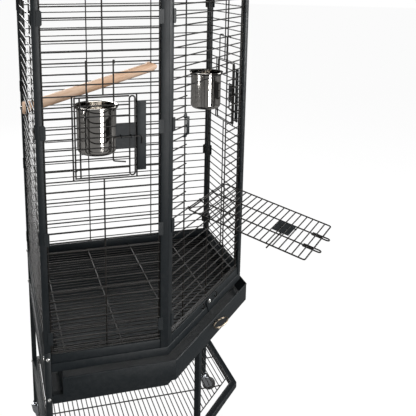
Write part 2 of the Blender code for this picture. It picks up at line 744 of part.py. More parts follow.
def build_feeder_door(side_name, parts):
    """A small wire door that swings out about its back edge."""
    wall, place = side_frame(side_name)
    left, right, bottom, top = side_opening()
    hinge = left + FEEDER_CLEARANCE
    edge = right - FEEDER_CLEARANCE
    plate = (edge - LATCH_PLATE_WIDTH, edge)
    middle = (bottom + top) / 2
    columns = column_edges((hinge, edge), [hinge + FEEDER_STILE, edge - FEEDER_LOOP])
    low_edge, high_edge = bottom + FEEDER_CLEARANCE, top - FEEDER_CLEARANCE
    loops = [rectangle(place(hinge) - place(hinge), place(edge) - place(hinge),
                       low_edge, high_edge)]
    for row in range(FEEDER_ROW + 1, FEEDER_ROW + FEEDER_ROWS + 1):
        low = max(row_height(row - 1) + WIRE / 2, low_edge + EDGE_WIRE)
        high = min(row_height(row) - WIRE / 2, high_edge - EDGE_WIRE)
        for i, (start, stop) in enumerate(columns):
            if abs((low + high) / 2 - middle) < LATCH_PLATE_HEIGHT / 2:
                if i == 2:
                    continue
                stop = min(stop, plate[0])
            loops.append(rectangle(place(start) - place(hinge), place(stop) - place(hinge),
                                   low, high))
    name = "feeder_door_" + side_name.split("_")[0]
    door = add_object(name, flat_curve(name, loops, WIRE), "wire", parts)
    door.matrix_world = wall_matrix(wall, CAGE_FLOOR_Z, GRID_DEPTH)
    door.location = wall_point(wall, place(hinge), CAGE_FLOOR_Z, GRID_DEPTH)


LATCH_HEIGHT = row_height(FEEDER_ROW) + WIRE_PITCH * FEEDER_ROWS / 2


def build_feeder_latch(side_name, parts):
    """The bent wire across the feeder door that reaches over the keeper bar's face."""
    wall, place = side_frame(side_name)
    edge = FEEDER_LATCH_SIDE
    depth = GRID_DEPTH - WIRE / 2 - KEEPER_THICKNESS - 2 * GAP - LATCH_WIRE / 2 - KEEPER_CLEARANCE
    route = [
        (edge - 0.027, -0.060), (edge - 0.057, -0.056), (edge - 0.056, 0.0),
        (edge + 0.013, 0.0), (edge + 0.012, -0.019),
    ]
    origin = wall_point(wall, place(edge - LATCH_PLATE_WIDTH / 2),
                        CAGE_FLOOR_Z + LATCH_HEIGHT, depth)
    path = [wall_point(wall, place(side), CAGE_FLOOR_Z + LATCH_HEIGHT + rise, depth) - origin
            for side, rise in route]
    name = "feeder_latch_" + side_name.split("_")[0]
    latch = add_object(name, wire_curve(name, path, LATCH_WIRE), "wire", parts)
    latch.location = origin


def build_keeper(side_name, parts):
    """The flat bar beside the feeder opening that the latch closes on."""
    wall, place = side_frame(side_name)
    _, right, bottom, top = side_opening()
    start = right + EDGE_WIRE / 2
    ends = sorted((place(start), place(start + KEEPER_WIDTH)))
    depth = GRID_DEPTH - WIRE / 2 - GAP - KEEPER_THICKNESS / 2
    upright_plate("latch_keeper_" + side_name.split("_")[0], wall,
                  [rectangle(*ends, bottom + KEEPER_MARGIN, top - KEEPER_MARGIN)],
                  CAGE_FLOOR_Z, depth, KEEPER_THICKNESS, "hammertone", parts)


# ---------------------------------------------------------------- cups
def cup_centre(side_name, z):
    """Middle of a cup, at height z above the cage floor line."""
    wall, place = side_frame(side_name)
    return wall_point(wall, place(CUP_CENTRE_SIDE), CAGE_FLOOR_Z + z, CUP_CENTRE_DEPTH)


def build_cup(side_name, parts):
    """A spun steel cup with a flat rim and a rounded foot, standing open at the top."""
    radius, wall = CUP_DIAMETER / 2, CUP_WALL
    foot = -CUP_HEIGHT
    profile = [(0, foot + wall)]
    for k in range(4):
        turn = math.radians(90 * k / 3)
        profile.append((radius - CUP_CORNER + (CUP_CORNER - wall) * math.sin(turn),
                        foot + CUP_CORNER - (CUP_CORNER - wall) * math.cos(turn)))
    profile += [(radius - wall, 0), (CUP_RIM_DIAMETER / 2, 0), (CUP_RIM_DIAMETER / 2, -wall),
                (radius, -wall)]
    for k in range(4):
        turn = math.radians(90 * (1 - k / 3))
        profile.append((radius - CUP_CORNER + CUP_CORNER * math.sin(turn),
                        foot + CUP_CORNER - CUP_CORNER * math.cos(turn)))
    profile.append((0, foot))
    cup = turned("cup_" + side_name.split("_")[0], profile, TURN_STEPS, "steel", parts)
    cup.location = cup_centre(side_name, CUP_RIM_Z)


def build_cup_hanger(side_name, parts):
    """A wire ring under the cup's rim, hooked over a wire of the side wall."""
    wall, place = side_frame(side_name)
    half = HANGER_WIRE / 2
    ring = CUP_DIAMETER / 2 + half + 0.0008
    ring_z = CUP_RIM_Z - CUP_WALL - GAP - half
    hook_z = row_height(HANGER_ROW) + WIRE / 2 + GAP + half
    inside = GRID_DEPTH + WIRE / 2 + EDGE_WIRE + half
    outside = GRID_DEPTH - WIRE / 2 - GAP - half
    first = math.asin(HANGER_SPREAD / 2 / ring)
    circle = []
    steps = 18
    for k in range(steps + 1):
        turn = first + (2 * math.pi - 2 * first) * k / steps
        circle.append((CUP_CENTRE_SIDE - ring * math.sin(turn), ring_z,
                       CUP_CENTRE_DEPTH - ring * math.cos(turn)))

    def hook(side):
        """One hanger leg, from its tip outside the wall down to the ring's height."""
        return [(side, hook_z - 0.007, outside), (side, hook_z, outside),
                (side, hook_z, inside), (side, ring_z, inside)]

    left = hook(CUP_CENTRE_SIDE - HANGER_SPREAD / 2)
    right = hook(CUP_CENTRE_SIDE + HANGER_SPREAD / 2)
    route = left + circle + right[::-1]
    path = [wall_point(wall, place(side), CAGE_FLOOR_Z + z, depth) for side, z, depth in route]
    name = "cup_hanger_" + side_name.split("_")[0]
    add_object(name, wire_curve(name, path, HANGER_WIRE), "wire", parts)


# ---------------------------------------------------------------- perch
def perch_ends():
    """Where the perch's axis crosses the two back walls' wires."""
    left_wall, right_wall = WALLS["back_left"], WALLS["back_right"]
    left_z = CAGE_FLOOR_Z + row_height(PERCH_LEFT_ROW) + WIRE_PITCH / 2
    right_z = CAGE_FLOOR_Z + row_height(PERCH_RIGHT_ROW) + WIRE_PITCH / 2
    upright = LONG_WALL / 3
    return (wall_point(left_wall, upright - PERCH_LEFT_PAST_UPRIGHT, left_z, GRID_DEPTH),
            wall_point(right_wall, upright + PERCH_RIGHT_BEFORE_UPRIGHT, right_z, GRID_DEPTH))


def build_perch(parts):
    """A round bar across the back corner, its ends cut to lie flat against both walls."""
    start, end = perch_ends()
    middle, run = (start + end) / 2, end - start
    mesh = bpy.data.meshes.new("perch")
    shape = bmesh.new()
    bmesh.ops.create_cone(shape, cap_ends=True, segments=TURN_STEPS,
                          radius1=PERCH_DIAMETER / 2, radius2=PERCH_DIAMETER / 2,
                          depth=run.length * 1.3)
    bmesh.ops.transform(shape, verts=shape.verts,
                        matrix=run.to_track_quat("Z", "Y").to_matrix().to_4x4())
    bmesh.ops.translate(shape, verts=shape.verts, vec=middle)
    for name in ("back_left", "back_right"):
        wall = WALLS[name]
        plane = wall.start - wall.outward * (UPRIGHT_BACK + GAP)
        cut = bmesh.ops.bisect_plane(shape, geom=shape.verts[:] + shape.edges[:] + shape.faces[:],
                                     plane_co=plane, plane_no=wall.outward, clear_outer=True)
        rim = [e for e in cut["geom_cut"] if isinstance(e, bmesh.types.BMEdge)]
        bmesh.ops.holes_fill(shape, edges=rim)
    bmesh.ops.recalc_face_normals(shape, faces=shape.faces)
    shape.to_mesh(mesh)
    shape.free()
    smooth(mesh)
    add_object("perch", mesh, "wood", parts)


def build_perch_caps(parts):
    """Round wooden caps outside the walls, where the perch's screws are tightened."""
    profile = [(0, PERCH_CAP_THICKNESS), (PERCH_CAP_DIAMETER / 2 - 0.002, PERCH_CAP_THICKNESS),
               (PERCH_CAP_DIAMETER / 2, PERCH_CAP_THICKNESS - 0.002),
               (PERCH_CAP_DIAMETER / 2, 0), (0, 0)]
    for name, point in zip(("back_left", "back_right"), perch_ends()):
        wall = WALLS[name]
        cap = turned("perch_cap_" + name.split("_")[1], profile, TURN_STEPS, "wood", parts)
        turn = wall.outward.to_track_quat("Z", "Y").to_matrix().to_4x4()
        place = point + wall.outward * (WIRE / 2 + GAP)
        cap.matrix_world = Matrix.Translation(place) @ turn


# ---------------------------------------------------------------- tray
def tray_corners(extra):
    """The tray's plan at rest, moved in from its outer faces by extra."""
    back = TUBE + TRAY_SIDE_CLEARANCE + extra
    front = TRAY_FRONT_INSET + extra
    shift = FRONT.outward * TRAY_REST_OUT
    return [p + shift for p in inset_corners([front, front, front, back, back])]


def build_tray(parts, cutters):
    """The dirt tray: a shallow pan with upright sides."""
    tray = plan_prism("tray", [flat(tray_corners(0.0))], TRAY_BOTTOM,
                      TRAY_BOTTOM + TRAY_HEIGHT, "hammertone", parts)
    tray = curve_to_mesh(tray, parts)
    hollow = plan_prism("tray_hollow", [flat(tray_corners(TRAY_WALL))],
                        TRAY_BOTTOM + TRAY_WALL, TRAY_BOTTOM + 2 * TRAY_HEIGHT, "hammertone",
                        cutters)
    add_boolean(tray, curve_to_mesh(hollow, cutters), "DIFFERENCE", cutters)


def ring_pull_hinge():
    """Where the ring pull hangs on the tray's front."""
    top = TRAY_BOTTOM + TRAY_HEIGHT
    out = TRAY_REST_OUT - TRAY_FRONT_INSET + RING_PULL_WIRE / 2 + 2 * GAP
    return wall_point(FRONT, FRONT_WALL / 2, top - RING_PULL_DROP, -out)


def build_ring_pull(parts):
    """An oval wire ring to draw the tray out by."""
    across = (RING_PULL_WIDTH - RING_PULL_WIRE) / 2
    reach = (RING_PULL_REACH - RING_PULL_WIRE) / 2
    rise = math.radians(RING_PULL_RISE)
    outward = FRONT.outward * math.cos(rise) + Vector((0, 0, 1)) * math.sin(rise)
    path = []
    for k in range(TURN_STEPS):
        turn = 2 * math.pi * k / TURN_STEPS
        path.append(FRONT.along * across * math.sin(turn)
                    + outward * reach * (1 - math.cos(turn)))
    ring = add_object("ring_pull", wire_curve("ring_pull", path, RING_PULL_WIRE, closed=True),
                      "wire", parts)
    ring.location = ring_pull_hinge()


def build_turn_button(parts):
    """A three-cornered plate that turns on a screw over the tray's front edge."""
    half, head = TURN_BUTTON_WIDTH / 2, TURN_BUTTON_HEAD
    loop = [(0, -TURN_BUTTON_REACH), (half, 0), (half * 0.6, head), (-half * 0.6, head),
            (-half, 0)]
    depth = -(GAP + TURN_BUTTON_THICKNESS / 2)
    button = add_object("turn_button", flat_curve("turn_button", [loop], TURN_BUTTON_THICKNESS),
                        "hammertone", parts)
    button.matrix_world = wall_matrix(FRONT, CAGE_FLOOR_Z - TURN_BUTTON_DROP, depth)
    button.location = wall_point(FRONT, FRONT_WALL / 2, CAGE_FLOOR_Z - TURN_BUTTON_DROP, depth)


# ---------------------------------------------------------------- casters
def caster_places():
    """Middle of each leg's end in plan, and the way its wheel trails."""
    ahead = FRONT.outward
    left = Matrix.Rotation(math.radians(-CASTER_HEADING), 3, "Z") @ ahead
    right = Matrix.Rotation(math.radians(CASTER_HEADING), 3, "Z") @ ahead
    middles = {side: sum(leg_section(i), Vector()) / 4 for side, i in LEG_CORNERS.items()}
    front = sum(front_leg_section(0.0), Vector()) / 4
    return {"left": (middles["left"], left), "right": (middles["right"], right),
            "back": (middles["back"], ahead), "front": (front, ahead)}


def build_caster(side, middle, trail, parts, cutters):
    """A swivel fork on a round head, and its wheel."""
    heading = Matrix.Rotation(math.atan2(trail.y, trail.x), 4, "Z")
    top = CASTER_HEIGHT - GAP
    crown = top - SWIVEL_HEIGHT
    wheel_z = WHEEL_DIAMETER / 2 * math.cos(math.pi / WHEEL_SIDES)
    inner = WHEEL_WIDTH / 2 + FORK_CLEARANCE
    outer = inner + FORK_SHEET
    low = wheel_z - WHEEL_HUB_DIAMETER / 2
    profile = [(-outer, low), (-outer, crown), (outer, crown), (outer, low), (inner, low),
               (inner, crown - FORK_SHEET), (-inner, crown - FORK_SHEET), (-inner, low)]
    fork = add_object("caster_fork_" + side, flat_curve("fork", [profile], FORK_LENGTH),
                      "chrome", parts)
    upright = Matrix.Rotation(math.pi / 2, 4, "Z") @ Matrix.Rotation(math.pi / 2, 4, "X")
    forward = Matrix.Translation((CASTER_TRAIL / 2, 0, 0))
    fork.matrix_world = Matrix.Translation(middle) @ heading @ forward @ upright
    fork = curve_to_mesh(fork, parts)
    head_profile = [(0, top), (SWIVEL_DIAMETER / 2, top), (SWIVEL_DIAMETER / 2, crown - 0.001),
                    (0, crown - 0.001)]
    head = turned("swivel_head_" + side, head_profile, TURN_STEPS, "chrome", cutters)
    head.location = middle
    add_boolean(fork, head, "UNION", cutters)

    radius, half = WHEEL_DIAMETER / 2, WHEEL_WIDTH / 2
    hub = WHEEL_HUB_DIAMETER / 2
    wheel_profile = [(0, half + FORK_CLEARANCE / 2), (hub, half + FORK_CLEARANCE / 2),
                     (hub, half - 0.003), (radius - 0.003, half - 0.003), (radius, half - 0.005),
                     (radius, -half + 0.005), (radius - 0.003, -half + 0.003),
                     (hub, -half + 0.003), (hub, -half - FORK_CLEARANCE / 2),
                     (0, -half - FORK_CLEARANCE / 2)]
    wheel = turned("caster_wheel_" + side, wheel_profile, WHEEL_SIDES, "rubber", parts)
    on_side = Matrix.Rotation(math.pi / 2, 4, "X")
    facet_down = Matrix.Rotation(math.pi / WHEEL_SIDES, 4, "Z")
    place = Matrix.Translation(middle + trail * CASTER_TRAIL + Vector((0, 0, wheel_z)))
    wheel.matrix_world = place @ heading @ on_side @ facet_down


def main():
    """Builds the cage."""
    clear_scene()
    parts = new_collection("bird_cage_on_stand")
    cutters = new_collection("cutters")
    build_legs(parts)
    build_rings(parts)
    build_grilles(parts, cutters)
    build_posts(parts)
    build_wall_grilles(parts, cutters)
    build_rails(parts)
    build_uprights(parts)
    build_landing_door(parts, cutters)
    build_landing_latch(parts)
    build_landing_keeper(parts)
    for side_name in ("left_side", "right_side"):
        build_feeder_door(side_name, parts)
        build_feeder_latch(side_name, parts)
        build_keeper(side_name, parts)
        build_cup(side_name, parts)
        build_cup_hanger(side_name, parts)
    build_perch(parts)
    build_perch_caps(parts)
    build_tray(parts, cutters)
    build_ring_pull(parts)
    build_turn_button(parts)
    for side, (middle, trail) in caster_places().items():
        build_caster(side, middle, trail, parts, cutters)


main()
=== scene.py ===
"""The finished look of the corner bird cage on its wheeled stand."""
import logging
import math
from dataclasses import dataclass
from enum import Enum
from typing import Callable, Iterable, Sequence

import bpy
from mathutils import Matrix, Vector


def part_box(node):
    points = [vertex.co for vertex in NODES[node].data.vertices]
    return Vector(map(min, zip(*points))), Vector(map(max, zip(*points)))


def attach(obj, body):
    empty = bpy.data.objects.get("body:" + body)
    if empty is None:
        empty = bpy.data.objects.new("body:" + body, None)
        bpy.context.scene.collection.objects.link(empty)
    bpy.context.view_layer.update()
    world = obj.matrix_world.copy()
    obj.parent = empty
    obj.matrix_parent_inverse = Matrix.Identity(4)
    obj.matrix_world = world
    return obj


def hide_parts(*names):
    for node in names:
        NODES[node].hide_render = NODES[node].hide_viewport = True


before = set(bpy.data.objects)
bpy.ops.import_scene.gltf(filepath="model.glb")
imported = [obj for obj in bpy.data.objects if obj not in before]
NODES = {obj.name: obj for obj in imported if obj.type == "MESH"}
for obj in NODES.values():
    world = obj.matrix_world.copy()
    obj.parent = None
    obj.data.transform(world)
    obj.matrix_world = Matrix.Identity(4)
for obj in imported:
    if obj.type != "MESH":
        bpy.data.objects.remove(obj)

logging.basicConfig(level=logging.INFO, format="%(message)s")
LOG = logging.getLogger("bird_cage")
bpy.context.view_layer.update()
UP = Vector((0.0, 0.0, 1.0))
MERGE = 0.00001      # points nearer than this become one
SLIVER = 0.000001    # faces thinner than this are taken out
FLAT = 1.0           # CAD triangles that turn less than this, in degrees, become one face
SOFT_EDGE = 35.0     # edges that turn less than this, in degrees, are shaded smooth
SOFT_WIRE = 50.0     # the same for round wire
FAINT = 1e-9         # lines nearer to parallel than this don't meet
NO_BEND = 0.0001     # the bend of a path that is already round
SHEET_EDGE = 0.0006  # how far the edges of thin sheet steel are rounded


# ------------------------------------------------------------------ bench tools
def select_only(obj: bpy.types.Object) -> None:
    """Select one object and make it active.

    Args:
        obj: The object that the next operator works on.
    """
    if bpy.context.mode != "OBJECT":
        bpy.ops.object.mode_set(mode="OBJECT")
    bpy.ops.object.select_all(action="DESELECT")
    obj.select_set(True)
    bpy.context.view_layer.objects.active = obj


def apply_modifiers(obj: bpy.types.Object) -> None:
    """Apply every modifier of an object, from the first to the last.

    Args:
        obj: The object to finish.
    """
    select_only(obj)
    for name in [modifier.name for modifier in obj.modifiers]:
        bpy.ops.object.modifier_apply(modifier=name)


def settle(obj: bpy.types.Object, matrix: Matrix | None = None) -> bpy.types.Object:
    """Put a piece's place into its mesh and its object at the origin.

    Args:
        obj: The mesh object to settle.
        matrix: A further placing, from the piece's own frame to the cage's.

    Returns:
        The same object.
    """
    place = obj.matrix_world.copy()
    if matrix is not None:
        place = matrix @ place
    obj.data.transform(place)
    if place.determinant() < 0:
        obj.data.flip_normals()
    obj.matrix_world = Matrix.Identity(4)
    return obj


def shade(obj: bpy.types.Object, angle: float = SOFT_EDGE) -> bpy.types.Object:
    """Shade a piece smooth, with edges above an angle kept sharp.

    Args:
        obj: The mesh object.
        angle: The angle in degrees.

    Returns:
        The same object.
    """
    select_only(obj)
    bpy.ops.object.shade_smooth_by_angle(angle=math.radians(angle))
    return obj


def bevel(obj: bpy.types.Object, width: float, segments: int = 2,
          angle: float = SOFT_EDGE) -> None:
    """Round the edges of a piece.

    Args:
        obj: The mesh object.
        width: The bevel's width in metres.
        segments: The steps of the rounding.
        angle: Edges turning more than this many degrees are rounded.
    """
    modifier = obj.modifiers.new("Rounded edges", "BEVEL")
    modifier.width = width
    modifier.segments = segments
    modifier.limit_method = "ANGLE"
    modifier.angle_limit = math.radians(angle)
    modifier.use_clamp_overlap = True
    apply_modifiers(obj)


def join(name: str, parts: Sequence[bpy.types.Object]) -> bpy.types.Object:
    """Join settled pieces into one object.

    Args:
        name: The joined piece's name.
        parts: The pieces, each at the origin.

    Returns:
        The joined object.
    """
    select_only(parts[0])
    for part in parts[1:]:
        part.select_set(True)
    if len(parts) > 1:
        bpy.ops.object.join()
    obj = bpy.context.view_layer.objects.active
    obj.name = name
    obj.data.name = name
    return obj


def frame_matrix(x: Vector, y: Vector, z: Vector, origin: Vector) -> Matrix:
    """A placing whose columns are three axes and an origin."""
    columns = (x, y, z, origin)
    return Matrix([[c[row] for c in columns] for row in range(3)] + [[0, 0, 0, 1]])


def axis_matrix(origin: Vector, axis: Vector) -> Matrix:
    """A placing that turns +Z to an axis at an origin."""
    return Matrix.Translation(origin) @ axis.to_track_quat("Z", "Y").to_matrix().to_4x4()


def copy_at(obj: bpy.types.Object, matrix: Matrix) -> bpy.types.Object:
    """Copy a settled piece, with a mesh of its own, and place the copy.

    Args:
        obj: The piece to copy.
        matrix: Where the copy goes, seen from the pattern's own place.

    Returns:
        The copy.
    """
    twin = obj.copy()
    twin.data = obj.data.copy()
    bpy.context.collection.objects.link(twin)
    twin.data.transform(matrix)
    if matrix.determinant() < 0:
        twin.data.flip_normals()
    return twin


def discard(obj: bpy.types.Object) -> None:
    """Remove a pattern piece that has been copied."""
    bpy.data.objects.remove(obj, do_unlink=True)


def outline_plate(outline: Sequence[tuple[float, float]], thickness: float,
                  rounding: float = 0.0, segments: int = 2) -> bpy.types.Object:
    """A flat plate from an outline, standing from z = 0 up to its thickness.

    Args:
        outline: The plate's corners in order, as (x, y).
        thickness: The plate's thickness.
        rounding: How far its edges are rounded.
        segments: The steps of the rounding.

    Returns:
        The plate, at the origin.
    """
    bpy.ops.object.select_all(action="DESELECT")
    bpy.ops.mesh.primitive_circle_add(vertices=len(outline), radius=1, fill_type="NGON")
    obj = bpy.context.object
    for vertex, (x, y) in zip(obj.data.vertices, outline):
        vertex.co = (x, y, 0.0)
    bpy.ops.object.mode_set(mode="EDIT")
    bpy.ops.mesh.select_all(action="SELECT")
    bpy.ops.mesh.extrude_region_move(TRANSFORM_OT_translate={"value": (0, 0, thickness)})
    bpy.ops.mesh.select_all(action="SELECT")
    bpy.ops.mesh.normals_make_consistent(inside=False)
    bpy.ops.object.mode_set(mode="OBJECT")
    settle(obj)
    if rounding:
        bevel(obj, rounding, segments)
    return obj


def turned(profile: Sequence[tuple[float, float]], steps: int,
           close_angle: float = SOFT_EDGE) -> bpy.types.Object:
    """A piece turned about Z from a profile of (radius, height).

    Args:
        profile: The profile's points in order, each end on the axis or the loop closed.
        steps: The sides of the turned piece.
        close_angle: Edges above this angle stay sharp.

    Returns:
        The turned piece, at the origin.
    """
    bpy.ops.object.select_all(action="DESELECT")
    bpy.ops.mesh.primitive_circle_add(vertices=len(profile), radius=1, fill_type="NOTHING")
    obj = bpy.context.object
    for vertex, (radius, height) in zip(obj.data.vertices, profile):
        vertex.co = (radius, 0.0, height)
    screw = obj.modifiers.new("Turn", "SCREW")
    screw.steps = steps
    screw.render_steps = steps
    screw.use_merge_vertices = True
    screw.merge_threshold = MERGE
    apply_modifiers(obj)
    bpy.ops.object.mode_set(mode="EDIT")
    bpy.ops.mesh.select_all(action="SELECT")
    bpy.ops.mesh.remove_doubles(threshold=MERGE)
    bpy.ops.mesh.dissolve_degenerate(threshold=SLIVER)
    bpy.ops.mesh.delete_loose()
    bpy.ops.mesh.select_all(action="SELECT")
    bpy.ops.mesh.normals_make_consistent(inside=False)
    bpy.ops.object.mode_set(mode="OBJECT")
    return shade(settle(obj), close_angle)


def softened(node: str, name: str, width: float, segments: int = 2) -> bpy.types.Object:
    """A copy of a CAD node with its edges rounded.

    Args:
        node: The CAD node.
        name: The new piece's name.
        width: The rounding's width.
        segments: The steps of the rounding.

    Returns:
        The new piece, which stands for the node.
    """
    obj = bpy.data.objects.new(name, NODES[node].data.copy())
    obj.data.materials.clear()
    bpy.context.collection.objects.link(obj)
    select_only(obj)
    bpy.ops.object.mode_set(mode="EDIT")
    bpy.ops.mesh.select_all(action="SELECT")
    bpy.ops.mesh.remove_doubles(threshold=MERGE)
    bpy.ops.mesh.normals_make_consistent(inside=False)
    bpy.ops.mesh.dissolve_limited(angle_limit=math.radians(FLAT))
    bpy.ops.object.mode_set(mode="OBJECT")
    bevel(obj, width, segments)
    shade(obj)
    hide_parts(node)
    return obj


def arc(first: float, last: float, steps: int) -> list[float]:
    """Angles in radians at even steps from a first to a last one, both in degrees."""
    return [math.radians(first + (last - first) * k / steps) for k in range(steps + 1)]


def full_turn(sides: int) -> list[float]:
    """The angles in radians of a closed ring's corners."""
    return arc(0.0, 360.0, sides)[:-1]


def rectangle(width: float, height: float) -> list[tuple[float, float]]:
    """The corners of a rectangle about the origin."""
    w, h = width / 2, height / 2
    return [(-w, -h), (w, -h), (w, h), (-w, h)]


def rounded_path(points: Sequence[Vector], radius: float, steps: int = 5,
                 closed: bool = False) -> list[Vector]:
    """Round the corners of a bent wire's path.

    Args:
        points: The path's corners.
        radius: The bend's radius, made smaller where a leg is short.
        steps: The points in each bend.
        closed: Whether the last corner joins the first.

    Returns:
        The points of the rounded path.
    """
    straight, longest = math.pi - 0.02, 0.49
    points = [Vector(p) for p in points]
    count = len(points)
    path: list[Vector] = []
    for i, corner in enumerate(points):
        if not closed and i in (0, count - 1):
            path.append(corner)
            continue
        before, after = points[i - 1] - corner, points[(i + 1) % count] - corner
        turn = before.angle(after)
        if turn > straight:
            path.append(corner)
            continue
        reach = radius / math.tan(turn / 2)
        reach = min(reach, before.length * longest, after.length * longest)
        start, end = corner + before.normalized() * reach, corner + after.normalized() * reach
        for k in range(steps + 1):
            t = k / steps
            path.append(start * (1 - t) ** 2 + corner * 2 * t * (1 - t) + end * t ** 2)
    return path


def bent_wire(points: Sequence[Vector], diameter: float, radius: float = 0.004,
              closed: bool = False, sides: int = 4) -> bpy.types.Object:
    """A round wire bent along a path.

    Args:
        points: The path's corners, in the cage's frame.
        diameter: The wire's thickness.
        radius: The radius of its bends.
        closed: Whether it is a closed ring.
        sides: The bevel resolution of the wire's section.

    Returns:
        The wire as a mesh at the origin.
    """
    curve = bpy.data.curves.new("wire", "CURVE")
    curve.dimensions = "3D"
    curve.bevel_depth = diameter / 2
    curve.bevel_resolution = sides
    curve.use_fill_caps = not closed
    path = rounded_path(points, radius, closed=closed)
    spline = curve.splines.new("POLY")
    spline.points.add(len(path) - 1)
    for point, place in zip(spline.points, path):
        point.co = (*place, 1.0)
    spline.use_cyclic_u = closed
    obj = bpy.data.objects.new("wire", curve)
    bpy.context.collection.objects.link(obj)
    select_only(obj)
    bpy.ops.object.convert(target="MESH")
    obj = bpy.context.object
    bpy.ops.object.mode_set(mode="EDIT")
    bpy.ops.mesh.select_all(action="SELECT")
    bpy.ops.mesh.remove_doubles(threshold=MERGE)
    bpy.ops.mesh.normals_make_consistent(inside=False)
    bpy.ops.object.mode_set(mode="OBJECT")
    return shade(settle(obj), SOFT_WIRE)


class RodStock:
    """Straight round wire with softly rounded ends, cut to length."""

    CHAMFER = 0.12    # how far the ends are rounded, as a share of the diameter
    CORE = 0.9        # points nearer the middle than this share of the radius stay
    FACING = 0.9      # a face looks along the wire when its normal does by this much

    def __init__(self, diameter: float, sides: int = 10) -> None:
        """Make the pattern rod that every cut length is copied from.

        Args:
            diameter: The wire's thickness.
            sides: The sides of its section.
        """
        bpy.ops.object.select_all(action="DESELECT")
        bpy.ops.mesh.primitive_cylinder_add(vertices=sides, radius=diameter / 2, depth=1.0)
        self.pattern = bpy.context.object
        for polygon in self.pattern.data.polygons:
            polygon.select = abs(polygon.normal.z) > self.FACING
        bpy.ops.object.mode_set(mode="EDIT")
        bpy.ops.mesh.select_mode(type="FACE")
        bpy.ops.mesh.inset(thickness=diameter * self.CHAMFER, depth=0.0)
        bpy.ops.mesh.select_mode(type="VERT")
        bpy.ops.object.mode_set(mode="OBJECT")
        inner = diameter / 2 * self.CORE
        for vertex in self.pattern.data.vertices:
            if math.hypot(vertex.co.x, vertex.co.y) > inner:
                vertex.co.z -= math.copysign(diameter * self.CHAMFER, vertex.co.z)
        shade(self.pattern, SOFT_WIRE)

    def cut(self, start: Vector, end: Vector) -> bpy.types.Object:
        """Cut a length and lay it between two points.

        Args:
            start: One end of the wire's middle line.
            end: The other end.

        Returns:
            The cut wire, at the origin.
        """
        run = end - start
        piece = self.pattern.copy()
        piece.data = self.pattern.data.copy()
        bpy.context.collection.objects.link(piece)
        grow = (run.length - 1.0) / 2
        for vertex in piece.data.vertices:
            vertex.co.z += grow if vertex.co.z > 0 else -grow
        piece.data.transform(axis_matrix((start + end) / 2, run.normalized()))
        return piece

    def row(self, start: Vector, end: Vector, step: Vector, count: int) -> bpy.types.Object:
        """Lay equal lengths side by side at a constant step.

        Args:
            start: One end of the first length.
            end: Its other end.
            step: From each length to the next.
            count: How many lengths.

        Returns:
            The lengths as one object.
        """
        piece = self.cut(start, end)
        if count > 1:
            array = piece.modifiers.new("Row", "ARRAY")
            array.count = count
            array.use_relative_offset = False
            array.use_constant_offset = True
            array.constant_offset_displace = step
            apply_modifiers(piece)
        return piece

    def put_away(self) -> None:
        """Remove the pattern."""
        discard(self.pattern)


# ------------------------------------------------------------------ finishes
class Nodes:
    """A short way of wiring a node tree."""

    def __init__(self, tree: bpy.types.NodeTree) -> None:
        """Keep the tree that the nodes go in."""
        self.tree = tree

    def add(self, kind: str, **settings: object) -> bpy.types.Node:
        """Add a node, set its properties and set or link its inputs.

        Args:
            kind: The node's type, without the ShaderNode prefix.
            settings: Properties by name, and inputs as in_Socket_Name.

        Returns:
            The new node.
        """
        prefix = "" if kind.startswith("Node") else "ShaderNode"
        node = self.tree.nodes.new(prefix + kind)
        for key, value in settings.items():
            if not key.startswith("in_"):
                setattr(node, key, value)
        for key, value in settings.items():
            if key.startswith("in_"):
                self.feed(node, key[3:].replace("_", " "), value)
        return node

    def feed(self, node: bpy.types.Node, name: str, value: object) -> None:
        """Set an input, or link another node's output to it.

        Args:
            node: The node that is fed.
            name: The input's name, or its number where names repeat.
            value: A plain value, or the output to link.
        """
        socket = node.inputs[int(name)] if name.isdigit() else node.inputs[name]
        if isinstance(value, bpy.types.NodeSocket):
            self.tree.links.new(value, socket)
        else:
            socket.default_value = value

    def ramp(self, source: bpy.types.NodeSocket, stops: Sequence[tuple]) -> bpy.types.NodeSocket:
        """Turn a value into a colour.

        Args:
            source: The value, from 0 to 1.
            stops: The ramp's (position, colour) pairs in order.

        Returns:
            The colour.
        """
        node = self.add("ValToRGB", in_Fac=source)
        elements = node.color_ramp.elements
        while len(elements) < len(stops):
            elements.new(0.5)
        for element, (position, colour) in zip(elements, stops):
            element.position = position
            element.color = (*colour, 1.0)
        return node.outputs["Color"]

    def spread(self, source: bpy.types.NodeSocket, low: float, high: float,
               start: float = 0.0, stop: float = 1.0) -> bpy.types.NodeSocket:
        """Map a value from one span to another.

        Args:
            source: The value.
            low: What the span's start becomes.
            high: What the span's end becomes.
            start: The span's start.
            stop: The span's end.

        Returns:
            The mapped value.
        """
        node = self.add("MapRange", in_Value=source, in_From_Min=start, in_From_Max=stop,
                        in_To_Min=low, in_To_Max=high)
        return node.outputs["Result"]

    def mix(self, amount: object, first: object, second: object) -> bpy.types.NodeSocket:
        """Mix two colours, each a plain colour or another node's output.

        Args:
            amount: The second colour's share.
            first: The first colour.
            second: The second colour.

        Returns:
            The mixed colour.
        """
        node = self.add("Mix", data_type="RGBA")
        self.feed(node, "0", amount)
        for name, colour in (("6", first), ("7", second)):
            self.feed(node, name, (*colour, 1.0) if isinstance(colour, tuple) else colour)
        return node.outputs[2]

    def weigh(self, first: bpy.types.NodeSocket, share: float,
              second: bpy.types.NodeSocket) -> bpy.types.NodeSocket:
        """A share of one value added to another."""
        node = self.add("Math", operation="MULTIPLY_ADD", in_0=first, in_1=share, in_2=second)
        return node.outputs[0]


